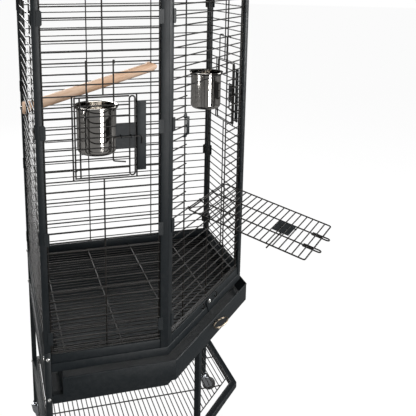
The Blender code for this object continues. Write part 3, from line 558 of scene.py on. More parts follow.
def new_group(name: str, inputs: dict[str, float], outputs: dict[str, str]) -> Nodes:
    """Start a shader node group.

    Args:
        name: The group's name.
        inputs: Names and default values of its number inputs.
        outputs: Names and socket kinds of its outputs.

    Returns:
        The wiring of the new group.
    """
    tree = bpy.data.node_groups.new(name, "ShaderNodeTree")
    tree.interface.new_socket("Vector", in_out="INPUT", socket_type="NodeSocketVector")
    for key, value in inputs.items():
        socket = tree.interface.new_socket(key, in_out="INPUT", socket_type="NodeSocketFloat")
        socket.default_value = value
    for key, kind in outputs.items():
        tree.interface.new_socket(key, in_out="OUTPUT", socket_type="NodeSocket" + kind)
    return Nodes(tree)


def build_pebble_group() -> bpy.types.NodeTree:
    """The dimpled surface of hammertone powder coat.

    Returns:
        The group, with the relief's height and a mask of bright flecks.
    """
    n = new_group("Pebbled coat", {"Scale": 420.0}, {"Height": "Float", "Flecks": "Float"})
    ends = n.add("NodeGroupInput"), n.add("NodeGroupOutput")
    vector, scale = ends[0].outputs["Vector"], ends[0].outputs["Scale"]
    cells = n.add("TexVoronoi", feature="SMOOTH_F1", in_Vector=vector, in_Scale=scale)
    grain = n.add("TexNoise", in_Vector=vector, in_Scale=scale, in_Detail=3.0)
    height = n.weigh(cells.outputs["Distance"], -0.8, grain.outputs["Fac"])
    n.feed(ends[1], "Height", height)
    n.feed(ends[1], "Flecks", n.spread(grain.outputs["Fac"], 0.0, 1.0, 0.45, 0.75))
    return n.tree


def build_handling_group() -> bpy.types.NodeTree:
    """Faint smears and dust from handling, as two masks; the wire also uses the smears mask to
    place its painted warm highlight.

    Returns:
        The group, with one mask of smears and one of dust.
    """
    n = new_group("Handling marks", {"Scale": 6.0}, {"Smears": "Float", "Dust": "Float"})
    ends = n.add("NodeGroupInput"), n.add("NodeGroupOutput")
    vector, scale = ends[0].outputs["Vector"], ends[0].outputs["Scale"]
    broad = n.add("TexNoise", in_Vector=vector, in_Scale=scale, in_Detail=6.0, in_Roughness=0.62)
    fine = n.add("TexNoise", in_Vector=vector, in_Scale=95.0, in_Detail=4.0)
    product = n.add("Math", operation="MULTIPLY", in_0=broad.outputs["Fac"],
                    in_1=fine.outputs["Fac"])
    n.feed(ends[1], "Smears", n.spread(broad.outputs["Fac"], 0.0, 1.0, 0.35, 0.68))
    n.feed(ends[1], "Dust", n.spread(product.outputs[0], 0.0, 1.0, 0.22, 0.42))
    return n.tree


def build_spun_group() -> bpy.types.NodeTree:
    """Fine rings that a spinning tool leaves round a turned metal wall.

    Returns:
        The group, with the rings' height and a mask of them.
    """
    n = new_group("Spun lines", {"Pitch": 900.0}, {"Height": "Float", "Mask": "Float"})
    ends = n.add("NodeGroupInput"), n.add("NodeGroupOutput")
    split = n.add("SeparateXYZ", in_Vector=ends[0].outputs["Vector"])
    lines = n.add("TexNoise", noise_dimensions="1D", in_Scale=ends[0].outputs["Pitch"],
                  in_Detail=3.0, in_Roughness=0.7)
    n.feed(lines, "W", split.outputs["Z"])
    n.feed(ends[1], "Height", lines.outputs["Fac"])
    n.feed(ends[1], "Mask", n.spread(lines.outputs["Fac"], 0.0, 1.0, 0.3, 0.7))
    return n.tree


def build_grain_group() -> bpy.types.NodeTree:
    """Wood grain that runs along the pattern's X.

    Returns:
        The group, with the figure and the pores as masks.
    """
    n = new_group("Wood grain", {"Scale": 1.0}, {"Figure": "Float", "Pores": "Float"})
    ends = n.add("NodeGroupInput"), n.add("NodeGroupOutput")
    stretch = n.add("Mapping", in_Vector=ends[0].outputs["Vector"], in_Scale=(2.2, 34.0, 34.0))
    warp = n.add("TexNoise", in_Vector=stretch.outputs[0], in_Scale=1.6, in_Detail=5.0,
                 in_Roughness=0.55, in_Distortion=0.8)
    bands = n.add("TexWave", wave_type="BANDS", bands_direction="Y",
                  in_Vector=stretch.outputs[0], in_Scale=0.55, in_Distortion=6.0,
                  in_Detail=3.0, in_Detail_Scale=1.2)
    figure = n.weigh(bands.outputs["Fac"], 0.45,
                     n.spread(warp.outputs["Fac"], 0.0, 0.55, 0.3, 0.7))
    n.feed(ends[1], "Figure", figure)
    thin = n.add("Mapping", in_Vector=ends[0].outputs["Vector"], in_Scale=(30.0, 700.0, 700.0))
    pores = n.add("TexNoise", in_Vector=thin.outputs[0], in_Scale=1.0, in_Detail=2.0)
    n.feed(ends[1], "Pores", n.spread(pores.outputs["Fac"], 0.0, 1.0, 0.60, 0.72))
    return n.tree


GROUPS = {
    "pebbles": build_pebble_group(),
    "handling": build_handling_group(),
    "spun": build_spun_group(),
    "grain": build_grain_group(),
}


def group_node(n: Nodes, key: str, vector: bpy.types.NodeSocket,
               **values: float) -> bpy.types.Node:
    """Place a shared group in a material with its own values.

    Args:
        n: The material's wiring.
        key: Which group.
        vector: The coordinates that it reads.
        values: Its inputs by name.

    Returns:
        The group's node.
    """
    node = n.add("Group", node_tree=GROUPS[key])
    n.feed(node, "Vector", vector)
    for name, value in values.items():
        n.feed(node, name, value)
    return node


@dataclass(frozen=True)
class Finish:
    """What every finish shares: a name, a roughness and a shine."""

    name: str
    colour: tuple[float, float, float]
    roughness: float = 0.5
    metallic: float = 0.0
    specular: float = 0.5

    def start(self) -> tuple[Nodes, bpy.types.Node, bpy.types.NodeSocket]:
        """Open a new material.

        Returns:
            Its wiring, its shader and its Object coordinates.
        """
        material = bpy.data.materials.new(self.name)
        material.use_nodes = True
        n = Nodes(material.node_tree)
        shader = material.node_tree.nodes["Principled BSDF"]
        shader.inputs["Base Color"].default_value = (*self.colour, 1.0)
        shader.inputs["Roughness"].default_value = self.roughness
        shader.inputs["Metallic"].default_value = self.metallic
        shader.inputs["Specular IOR Level"].default_value = self.specular
        coords = n.add("TexCoord").outputs["Object"]
        return n, shader, coords

    def material(self) -> bpy.types.Material:
        """The finished material, made once."""
        found = bpy.data.materials.get(self.name)
        return found or self.make()

    def make(self) -> bpy.types.Material:
        """Build the material; each finish says how."""
        raise NotImplementedError

    def wear(self, n: Nodes, mask: bpy.types.NodeSocket, less: float, more: float
             ) -> bpy.types.NodeSocket:
        """The finish's roughness, less to more of it as a mask goes from 0 to 1."""
        return n.spread(mask, self.roughness + less, self.roughness + more)

    def dress(self, n: Nodes, shader: bpy.types.Node, colour: bpy.types.NodeSocket,
              rough: bpy.types.NodeSocket, height: bpy.types.NodeSocket,
              relief: tuple[float, float]) -> bpy.types.Material:
        """Give the shader its colour, roughness and relief.

        Args:
            n: The material's wiring.
            shader: Its shader.
            colour: The surface's colour.
            rough: Its roughness.
            height: The pattern that raises it.
            relief: The bump's strength and its distance in metres.

        Returns:
            The finished material.
        """
        strength, distance = relief
        node = n.add("Bump", in_Height=height, in_Strength=strength, in_Distance=distance)
        n.feed(shader, "Base Color", colour)
        n.feed(shader, "Roughness", rough)
        n.feed(shader, "Normal", node.outputs["Normal"])
        return bpy.data.materials[self.name]


@dataclass(frozen=True)
class PowderCoat(Finish):
    """Dark hammertone powder coat on the tubes, rails and tray."""

    fleck: tuple[float, float, float] = (0.022, 0.026, 0.030)
    dust: tuple[float, float, float] = (0.035, 0.036, 0.037)
    grain: float = 420.0
    relief: tuple[float, float] = (0.35, 0.0004)

    def make(self) -> bpy.types.Material:
        """Build it pebbled, faintly flecked and dusty.

        Returns:
            The finished material.
        """
        n, shader, coords = self.start()
        pebbles = group_node(n, "pebbles", coords, Scale=self.grain)
        marks = group_node(n, "handling", coords, Scale=5.0)
        flecked = n.mix(n.spread(pebbles.outputs["Flecks"], 0.0, 0.45), self.colour, self.fleck)
        dusty = n.mix(n.spread(marks.outputs["Dust"], 0.0, 0.22), flecked, self.dust)
        return self.dress(n, shader, dusty, self.wear(n, marks.outputs["Smears"], -0.07, 0.08),
                          pebbles.outputs["Height"], self.relief)


@dataclass(frozen=True)
class DippedWire(Finish):
    """Black powder-coated wire with a painted warm sheen in random patches."""

    # Painted highlight: a warm brown that stands in for light catching the black wire.
    warm_highlight: tuple[float, float, float] = (0.030, 0.024, 0.019)
    relief: tuple[float, float] = (0.12, 0.0002)

    def make(self) -> bpy.types.Material:
        """Build it nearly black, slightly uneven, with small patches of painted warm highlight.

        Returns:
            The finished material.
        """
        n, shader, coords = self.start()
        marks = group_node(n, "handling", coords, Scale=22.0)
        pebbles = group_node(n, "pebbles", coords, Scale=900.0)
        # Painted highlight: the warm brown is mixed into the black in random patches.
        highlight_patches = n.mix(n.spread(marks.outputs["Smears"], 0.0, 0.35), self.colour, self.warm_highlight)
        return self.dress(n, shader, highlight_patches, self.wear(n, marks.outputs["Dust"], -0.06, 0.16),
                          pebbles.outputs["Height"], self.relief)


@dataclass(frozen=True)
class SpunSteel(Finish):
    """Polished stainless steel with fine spun rings."""

    water_mark: tuple[float, float, float] = (0.45, 0.44, 0.42)
    relief: tuple[float, float] = (0.008, 0.00005)

    def make(self) -> bpy.types.Material:
        """Build it bright, with rings too fine to count and a few water marks.

        Returns:
            The finished material.
        """
        n, shader, coords = self.start()
        spun = group_node(n, "spun", coords, Pitch=1400.0)
        marks = group_node(n, "handling", coords, Scale=30.0)
        marked = n.mix(n.spread(marks.outputs["Dust"], 0.0, 0.25), self.colour, self.water_mark)
        return self.dress(n, shader, marked, self.wear(n, spun.outputs["Mask"], -0.04, 0.06),
                          spun.outputs["Height"], self.relief)


@dataclass(frozen=True)
class PlatedSteel(Finish):
    """Bright plated steel of bolts, caster forks and the ring pull."""

    cloud: float = 0.62
    relief: tuple[float, float] = (0.05, 0.0002)

    def make(self) -> bpy.types.Material:
        """Build it bright, with cloudy patches in the plate.

        Returns:
            The finished material.
        """
        n, shader, coords = self.start()
        marks = group_node(n, "handling", coords, Scale=60.0)
        pebbles = group_node(n, "pebbles", coords, Scale=300.0)
        clouded = n.mix(n.spread(marks.outputs["Smears"], 0.0, 0.5), self.colour,
                        tuple(c * self.cloud for c in self.colour))
        return self.dress(n, shader, clouded, self.wear(n, marks.outputs["Dust"], 0.0, 0.22),
                          pebbles.outputs["Height"], self.relief)


@dataclass(frozen=True)
class Beech(Finish):
    """Pale beech with a warm figure along its length."""

    along: tuple[float, float, float] = (1.0, 0.0, 0.0)
    centre: tuple[float, float, float] = (0.0, 0.0, 0.0)
    dark: tuple[float, float, float] = (0.50, 0.28, 0.15)
    pore: tuple[float, float, float] = (0.30, 0.14, 0.06)
    pale: float = 1.08
    relief: tuple[float, float] = (-0.25, 0.0003)

    def make(self) -> bpy.types.Material:
        """Build it with grain along one direction and fine dark pores.

        Returns:
            The finished material.
        """
        n, shader, coords = self.start()
        turn = Vector(self.along).to_track_quat("X", "Z").to_euler()
        place = n.add("Mapping", vector_type="TEXTURE", in_Vector=coords,
                      in_Location=self.centre, in_Rotation=turn)
        grain = group_node(n, "grain", place.outputs[0], Scale=1.0)
        figure = n.ramp(grain.outputs["Figure"], [
            (0.0, tuple(c * self.pale for c in self.colour)), (0.45, self.colour),
            (1.0, self.dark)])
        pores = n.mix(n.spread(grain.outputs["Pores"], 0.0, 0.5), figure, self.pore)
        return self.dress(n, shader, pores, self.wear(n, grain.outputs["Figure"], 0.0, -0.12),
                          grain.outputs["Pores"], self.relief)


@dataclass(frozen=True)
class Moulded(Finish):
    """Moulded rubber or plastic, slightly dusty."""

    dust: tuple[float, float, float] = (0.14, 0.14, 0.13)
    relief: tuple[float, float] = (0.15, 0.0002)

    def make(self) -> bpy.types.Material:
        """Build it with a fine matt grain and dust in it.

        Returns:
            The finished material.
        """
        n, shader, coords = self.start()
        pebbles = group_node(n, "pebbles", coords, Scale=1500.0)
        marks = group_node(n, "handling", coords, Scale=40.0)
        dusty = n.mix(n.spread(marks.outputs["Dust"], 0.0, 0.35), self.colour, self.dust)
        return self.dress(n, shader, dusty, self.wear(n, marks.outputs["Smears"], -0.1, 0.1),
                          pebbles.outputs["Height"], self.relief)


HAMMERTONE = PowderCoat("hammertone_coat", (0.006, 0.0085, 0.010), roughness=0.45,
                        specular=0.28)
BLACK_WIRE = DippedWire("dipped_wire", (0.006, 0.0055, 0.005), roughness=0.36, specular=0.30)
BRASSY_WIRE = PlatedSteel("brassy_wire", (0.66, 0.55, 0.42), roughness=0.34, metallic=1.0)
STAINLESS = SpunSteel("spun_stainless", (0.78, 0.75, 0.71), roughness=0.07, metallic=1.0)
BRIGHT_ZINC = PlatedSteel("bright_plate", (0.80, 0.80, 0.78), roughness=0.16, metallic=1.0)
CHROME = PlatedSteel("caster_chrome", (0.68, 0.70, 0.73), roughness=0.10, metallic=1.0)
WHEEL_RUBBER = Moulded("wheel_rubber_grey", (0.022, 0.022, 0.024), roughness=0.6)
HUB_PLASTIC = Moulded("hub_plastic", (0.06, 0.06, 0.065), roughness=0.4)


class Slot(Enum):
    """Names of material slots."""

    COAT = "powder_coat"
    WIRE = "wire"
    STEEL = "steel"
    WOOD = "wood"
    CHROME = "fork_chrome"
    RUBBER = "wheel_rubber"


def finish_piece(obj: bpy.types.Object, name: str, finish: Finish, slot: Slot, body: str,
                 *nodes: str) -> bpy.types.Object:
    """Name a piece, dress it and put it on its body.

    Args:
        obj: The settled mesh object.
        name: The piece's name.
        finish: Its finish.
        slot: Not used.
        body: The CAD body that it rides on.
        nodes: CAD nodes that it stands for.

    Returns:
        The piece.
    """
    obj.name = name
    obj.data.name = name
    obj.data.materials.clear()
    obj.data.materials.append(finish.material())
    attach(obj, body)
    if nodes:
        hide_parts(*nodes)
    LOG.info("%s: %d faces", name, len(obj.data.polygons))
    return obj


def finish_joined(parts: Sequence[bpy.types.Object], name: str, finish: Finish, slot: Slot,
                  body: str, *nodes: str) -> bpy.types.Object:
    """Join settled pieces and finish them as one piece, as finish_piece does."""
    return finish_piece(join(name, parts), name, finish, slot, body, *nodes)


def finish_sheet(node: str, name: str, width: float, body: str) -> bpy.types.Object:
    """Round a folded or pressed CAD node's edges and give it the powder coat."""
    return finish_piece(softened(node, name, width), name, HAMMERTONE, Slot.COAT, body)


# ------------------------------------------------------------------ the cage's plan
@dataclass(frozen=True)
class Wall:
    """One outer wall of the plan, seen from outside with its length running right."""

    name: str
    start: Vector
    along: Vector
    length: float

    @property
    def outward(self) -> Vector:
        """The direction out of the cage."""
        return self.along.cross(UP)

    def at(self, side: float, z: float, depth: float = 0.0) -> Vector:
        """A point along the wall, at a height, so far behind its outer face."""
        point = self.start + self.along * side - self.outward * depth
        return Vector((point.x, point.y, z))

    def upright(self, z: float, depth: float = 0.0, side: float = 0.0) -> Matrix:
        """A placing with X along the wall, Y up and Z outwards."""
        return frame_matrix(self.along, UP, self.outward, self.at(side, z, depth))


@dataclass(frozen=True)
class CagePlan:
    """The five-sided plan and the heights that everything else is set out from."""

    long_wall: float = 0.648
    side_wall: float = 0.312
    floor_z: float = 0.658
    pitch: float = 0.025
    rows: int = 45
    tube: float = 0.016
    corner_face: float = 0.020
    wire: float = 0.0034
    edge_wire: float = 0.0038
    grid_depth: float = 0.006
    upright_depth: float = 0.0096
    gap: float = 0.0003
    shortest_wire: float = 0.004

    @property
    def corners(self) -> list[Vector]:
        """The plan's corners.

        Returns:
            The left, front left, front right, right and back corners.
        """
        root = math.sqrt(0.5)
        half, reach = self.long_wall * root, self.side_wall * root
        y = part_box("top_ring")[1].y - half
        return [Vector((-half, y, 0)), Vector((reach - half, y - reach, 0)),
                Vector((half - reach, y - reach, 0)), Vector((half, y, 0)),
                Vector((0, y + half, 0))]

    @property
    def walls(self) -> dict[str, Wall]:
        """The five walls.

        Returns:
            The walls by name, from the left side round by the front.
        """
        names = ("left_side", "front", "right_side", "back_right", "back_left")
        corners = self.corners
        walls = {}
        for i, name in enumerate(names):
            run = corners[(i + 1) % len(corners)] - corners[i]
            walls[name] = Wall(name, corners[i], run.normalized(), run.length)
        return walls

    @property
    def top_z(self) -> float:
        """The top of the wire walls."""
        return self.floor_z + self.pitch * self.rows

    def row_z(self, row: float) -> float:
        """The height of a wire row."""
        return self.floor_z + self.pitch * (row + 0.5)

    def span(self, wall: Wall) -> tuple[float, float]:
        """Where a wall's wires start and end between the posts.

        Args:
            wall: The wall.

        Returns:
            The two distances from the wall's start.
        """
        start = self.corner_face if wall.name in ("front", "right_side") else self.tube
        end = self.corner_face if wall.name in ("left_side", "front") else self.tube
        return start + self.gap, wall.length - end - self.gap

    def inset(self, insets: Iterable[float]) -> list[Vector]:
        """The plan with each wall moved in by its own distance.

        Args:
            insets: The distances, in the walls' order.

        Returns:
            The corners of the smaller plan.
        """
        walls = list(self.walls.values())
        lines = [(w.start - w.outward * d, w.along) for w, d in zip(walls, insets)]
        corners = []
        for i, (point, along) in enumerate(lines):
            before, run = lines[i - 1]
            offset = point - before
            spread = run.x * along.y - run.y * along.x
            corners.append(before + run * ((offset.x * along.y - offset.y * along.x) / spread))
        return corners

    def chord(self, outline: Sequence[Vector], point: Vector, run: Vector) -> tuple | None:
        """Where a line in plan enters and leaves a convex outline.

        Args:
            outline: The outline's corners in order.
            point: A point of the line.
            run: The line's direction.

        Returns:
            The two points, or None where they are missing or too near each other.
        """
        hits = []
        for i, end in enumerate(outline):
            start = outline[i - 1]
            edge = end - start
            spread = run.x * edge.y - run.y * edge.x
            if abs(spread) < FAINT:
                continue
            offset = start - point
            share = (offset.x * run.y - offset.y * run.x) / spread
            if -FAINT <= share <= 1 + FAINT:
                hits.append((offset.x * edge.y - offset.y * edge.x) / spread)
        if len(hits) < 2 or max(hits) - min(hits) < self.shortest_wire:
            return None
        return point + run * min(hits), point + run * max(hits)


PLAN = CagePlan()
WALLS = PLAN.walls
FRONT = WALLS["front"]
FRONT_MIDDLE = FRONT.length / 2


# ------------------------------------------------------------------ stand and posts
@dataclass
class SteelFrame:
    """Legs, posts, rails and rings, each with its edges rounded as folded steel is."""

    rounding: float = 0.0014
    rail_rounding: float = 0.0011
    back_plate_drop: float = 0.031
    back_plate_sheet: float = 0.0012
    back_plate_rounding: float = 0.0003
    back_plate_depth: float = 0.0045
    back_plate_clearance: float = 0.001
    tubes: tuple[str, ...] = ("leg_left", "leg_right", "leg_back", "leg_front", "post_left",
                              "post_right", "post_back", "post_front_left",
                              "post_front_right")
    rings: tuple[str, ...] = ("stand_upper_ring", "stand_lower_ring", "shelf_ring", "top_ring")

    def build(self) -> None:
        """Round and dress every tube, rail and ring."""
        for node in self.tubes + self.rings:
            finish_sheet(node, node + "_steel", self.rounding, "cage")
        for name in WALLS:
            finish_sheet("rail_" + name, "rail_" + name + "_steel", self.rail_rounding, "cage")
        self.back_plates()

    def back_plates(self) -> None:
        """Thin skirts that hang from the upper ring along the two back walls."""
        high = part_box("stand_upper_ring")[0].z
        low = high - self.back_plate_drop
        plates = []
        for name in ("back_left", "back_right"):
            wall = WALLS[name]
            start = PLAN.tube + self.back_plate_clearance
            end = wall.length - start
            outline = [(start, low), (end, low), (end, high), (start, high)]
            plate = outline_plate(outline, self.back_plate_sheet, self.back_plate_rounding)
            plates.append(settle(plate, wall.upright(0.0, self.back_plate_depth)))
        finish_joined(plates, "slot_back_plates", HAMMERTONE, Slot.COAT, "cage")


@dataclass
class Fasteners:
    """Bolts on the legs and the spring clips that hold the wall panels."""

    head_radius: float = 0.0052
    head_height: float = 0.0026
    clip_height: float = 0.034
    clip_pitch: float = 0.256
    clip_first: float = 0.045
    clip_width: float = 0.013
    clip_sheet: float = 0.0016
    clip_rounding: float = 0.0005
    clip_corner: float = 0.003
    clips_on_post: int = 5
    head_sides: int = 18
    socket_depth: float = 0.0011
    in_from_corner: float = 0.0085
    below_floor: float = 0.0105
    above_ring_middle: float = 0.001

    def bolt(self) -> bpy.types.Object:
        """A round-headed bolt with a dished socket, standing on z = 0.

        Returns:
            The bolt's head.
        """
        r, h = self.head_radius, self.head_height
        dish = h - self.socket_depth
        return turned([(0, dish), (r * 0.42, dish), (r * 0.46, h), (r * 0.66, h * 0.93),
                       (r * 0.86, h * 0.66), (r * 0.98, h * 0.28), (r, 0), (0, 0)],
                      self.head_sides)

    def build(self) -> None:
        """Set out the bolts and clips on every wall."""
        pattern = self.bolt()
        lower, shelf, top = (sum(corner.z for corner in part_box(node)) / 2
                             for node in ("stand_lower_ring", "shelf_ring", "top_ring"))
        lower += self.above_ring_middle
        bolts = []
        for wall in WALLS.values():
            sides = []
            if wall.name not in ("front", "right_side"):
                sides.append(self.in_from_corner)
            if wall.name not in ("left_side", "front"):
                sides.append(wall.length - self.in_from_corner)
            for side in sides:
                for z in (PLAN.floor_z - self.below_floor, lower, shelf, top):
                    bolts.append(copy_at(pattern, axis_matrix(wall.at(side, z), wall.outward)))
        middle = FRONT.at(FRONT_MIDDLE, lower)
        bolts.append(copy_at(pattern, axis_matrix(middle, FRONT.outward)))
        discard(pattern)
        finish_joined(bolts, "frame_bolts", BRIGHT_ZINC, Slot.CHROME, "cage")
        self.clips()

    def clips(self) -> None:
        """Folded clips that bridge from each post to the panel's edge wire."""
        half, tall, cut = self.clip_width / 2, self.clip_height / 2, self.clip_corner
        outline = [(-half, -tall), (half - cut, -tall), (half, -tall + cut),
                   (half, tall - cut), (half - cut, tall), (-half, tall)]
        pattern = outline_plate(outline, self.clip_sheet, self.clip_rounding)
        clips = []
        for wall in WALLS.values():
            start, end = PLAN.span(wall)
            for side, flip in ((start, 1.0), (end, -1.0)):
                for k in range(self.clips_on_post):
                    z = PLAN.floor_z + self.clip_first + k * self.clip_pitch
                    if z > PLAN.top_z:
                        continue
                    turn = Matrix.Diagonal((flip, 1, 1, 1))
                    clips.append(copy_at(pattern, wall.upright(z, 0.0, side) @ turn))
        discard(pattern)
        finish_joined(clips, "panel_clips", HAMMERTONE, Slot.COAT, "cage")


# ------------------------------------------------------------------ wire walls
@dataclass
class WireWalls:
    """Five welded wire walls: horizontal wires on upright ones."""

    hinge_row: int = 12
    door_rows: int = 13
    opening_side: float = 0.100
    opening_width: float = 0.250
    feeder_row: int = 17
    feeder_rows: int = 8
    feeder_hinge: float = 0.086
    feeder_latch: float = 0.233
    end_clearance: float = 0.001

    def build(self) -> None:
        """Weld up each wall."""
        self.rod = RodStock(PLAN.wire)
        self.edge = RodStock(PLAN.edge_wire)
        for name, wall in WALLS.items():
            mirrored = name == "right_side"
            place: Callable[[float], float] = (
                (lambda s, w=wall: w.length - s) if mirrored else (lambda s: s))
            if name == "front":
                parts = self.pierced(wall, place, self.hinge_row, self.door_rows,
                                     self.opening_side, self.opening_side + self.opening_width)
            elif name.endswith("_side"):
                parts = self.pierced(wall, place, self.feeder_row, self.feeder_rows,
                                     self.feeder_hinge, self.feeder_latch)
            else:
                start, end = PLAN.span(wall)
                parts = [self.rows(wall, start, end, 0, PLAN.rows)]
            parts += self.uprights(wall, place)
            stood_for = ["grille_" + name]
            stood_for += [node for node in NODES if node.startswith("upright_" + name + "_")]
            if name == "front":
                stood_for = ["grille_front", "upright_front_left", "upright_front_right",
                             "upright_front_middle"]
            finish_joined(parts, "wires_" + name, BLACK_WIRE, Slot.WIRE, "cage", *stood_for)
        self.rod.put_away()
        self.edge.put_away()

    def rows(self, wall: Wall, start: float, end: float, first: int, count: int
             ) -> bpy.types.Object:
        """Horizontal wires from one side to another.

        Args:
            wall: The wall.
            start: Where the wires start along it.
            end: Where they end.
            first: The lowest wire's row.
            count: How many rows.

        Returns:
            The wires as one object.
        """
        a, b = sorted((start, end))
        z = PLAN.row_z(first)
        return self.rod.row(wall.at(a, z, PLAN.grid_depth), wall.at(b, z, PLAN.grid_depth),
                            UP * PLAN.pitch, count)

    def pierced(self, wall: Wall, place: Callable[[float], float], row: int, rows: int,
                left: float, right: float) -> list[bpy.types.Object]:
        """Horizontal wires that stop at an opening, and the opening's edge wires.

        Args:
            wall: The wall.
            place: Turns a distance from the opening's own end into one along the wall.
            row: The row that the opening stands on.
            rows: How many rows it is high.
            left: Where it starts.
            right: Where it ends.

        Returns:
            The wires.
        """
        start, end = PLAN.span(wall)
        near, far = (start, end) if place(0.0) == 0.0 else (wall.length - end,
                                                            wall.length - start)
        parts = [
            self.rows(wall, place(near), place(far), 0, row + 1),
            self.rows(wall, place(near), place(left), row + 1, rows - 1),
            self.rows(wall, place(right), place(far), row + 1, rows - 1),
            self.rows(wall, place(near), place(far), row + rows, PLAN.rows - row - rows),
        ]
        for side in (left - PLAN.edge_wire / 2, right + PLAN.edge_wire / 2):
            low, high = PLAN.row_z(row), PLAN.row_z(row + rows)
            if wall.name == "front":
                low, high = PLAN.floor_z, PLAN.top_z
            parts.append(self.edge.cut(wall.at(place(side), low, PLAN.upright_depth),
                                       wall.at(place(side), high, PLAN.upright_depth)))
        return parts

    def uprights(self, wall: Wall, place: Callable[[float], float]) -> list[bpy.types.Object]:
        """Upright wires behind the horizontal ones, and the panel's top and bottom wires.

        Args:
            wall: The wall.
            place: Turns a distance from the opening's own end into one along the wall.

        Returns:
            The wires.
        """
        start, end = PLAN.span(wall)
        low, high = PLAN.floor_z + self.end_clearance, PLAN.top_z - self.end_clearance
        half = PLAN.edge_wire / 2
        depth = PLAN.upright_depth
        parts = []
        stops: list[tuple[float, float, float]] = [(start + half, low, high),
                                                   (end - half, low, high)]
        if wall.name == "front":
            stops.append((FRONT_MIDDLE, low, PLAN.row_z(self.hinge_row)))
        elif wall.name.endswith("_side"):
            middle = place(PLAN.side_wall / 2)
            stops.append((middle, low, PLAN.row_z(self.feeder_row)))
            stops.append((middle, PLAN.row_z(self.feeder_row + self.feeder_rows), high))
        else:
            stops += [(wall.length * k / 3, low, high) for k in (1, 2)]
        for side, bottom, top in stops:
            parts.append(self.edge.cut(wall.at(side, bottom, depth), wall.at(side, top, depth)))
        for z in (low + half, high - half):
            parts.append(self.edge.cut(wall.at(start, z, PLAN.grid_depth),
                                       wall.at(end, z, PLAN.grid_depth)))
        return parts


@dataclass
class FlatGrilles:
    """The shelf, the cage floor and the roof: parallel wires over cross rods."""

    shelf_pitch: float = 0.0145
    grate_pitch: float = 0.017
    roof_pitch: float = 0.025
    thin: float = 0.0032
    inset: float = 0.0203
    grate_inset: float = 0.0176
    leg_step: float = 0.017
    weld: float = 0.0004
    shelf_rods: tuple[float, ...] = (0.165, 0.32, 0.475)
    grate_rods: tuple[float, ...] = (0.038, 0.187, 0.333, 0.478)
    roof_rods: tuple[float, ...] = (0.16, 0.32, 0.48)

    def build(self) -> None:
        """Lay the three grilles."""
        right, left = WALLS["right_side"].along, WALLS["left_side"].along
        shelf, grate, roof = (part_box(node)[1].z
                              for node in ("shelf_grille", "floor_grate", "roof_grille"))
        self.lay("shelf_wires", "shelf_grille", "cage", self.inset, right, self.shelf_pitch,
                 shelf - self.thin / 2, self.shelf_rods, -1, self.leg_step)
        self.lay("grate_wires", "floor_grate", "floor_grate", self.grate_inset, left,
                 self.grate_pitch, grate - self.thin * 1.2, self.grate_rods, 1)
        self.lay("roof_wires", "roof_grille", "cage", self.inset, left, self.roof_pitch,
                 roof - self.thin / 2, self.roof_rods, -1)

    def lay(self, name: str, node: str, body: str, inset: float, run: Vector, pitch: float,
            z: float, crossings: Sequence[float], under: int, leg_step: float = 0.0) -> None:
        """Lay one grille.

        Args:
            name: The piece's name.
            node: The CAD node that it stands for.
            body: The body that it rides on.
            inset: How far its border lies inside each wall.
            run: The direction of its close wires.
            pitch: Their spacing.
            z: The height of their middle.
            crossings: Where the cross rods lie, along the close wires from the far wall.
            under: -1 where the rods lie under the close wires.
            leg_step: How much further in the front edge lies, to clear the front leg.
        """
        rod, edge = RodStock(self.thin, 8), RodStock(PLAN.edge_wire, 8)
        wire = PLAN.edge_wire
        outline = PLAN.inset([inset + wire / 2 + (leg_step if side == "front" else 0.0)
                              for side in WALLS])
        drop = (self.thin + wire) / 2 - self.weld
        shift = UP * (z - self.thin * 0.2)
        parts = [edge.cut(outline[i - 1] + shift, corner + shift)
                 for i, corner in enumerate(outline)]
        across = Vector((-run.y, run.x, 0))
        reach = [p.dot(across) for p in outline]
        count = int((max(reach) - min(reach)) / pitch)
        first = (max(reach) + min(reach) - (count - 1) * pitch) / 2
        for i in range(count):
            ends = PLAN.chord(outline, across * (first + i * pitch), run)
            if ends:
                parts.append(rod.cut(ends[0] + UP * z, ends[1] + UP * z))
        far = min(p.dot(run) for p in outline) - wire
        for distance in crossings:
            ends = PLAN.chord(outline, run * (far + distance), across)
            if ends:
                parts.append(edge.cut(ends[0] + UP * (z + under * drop),
                                      ends[1] + UP * (z + under * drop)))
        rod.put_away()
        edge.put_away()
        finish_joined(parts, name, BLACK_WIRE, Slot.WIRE, body, node)


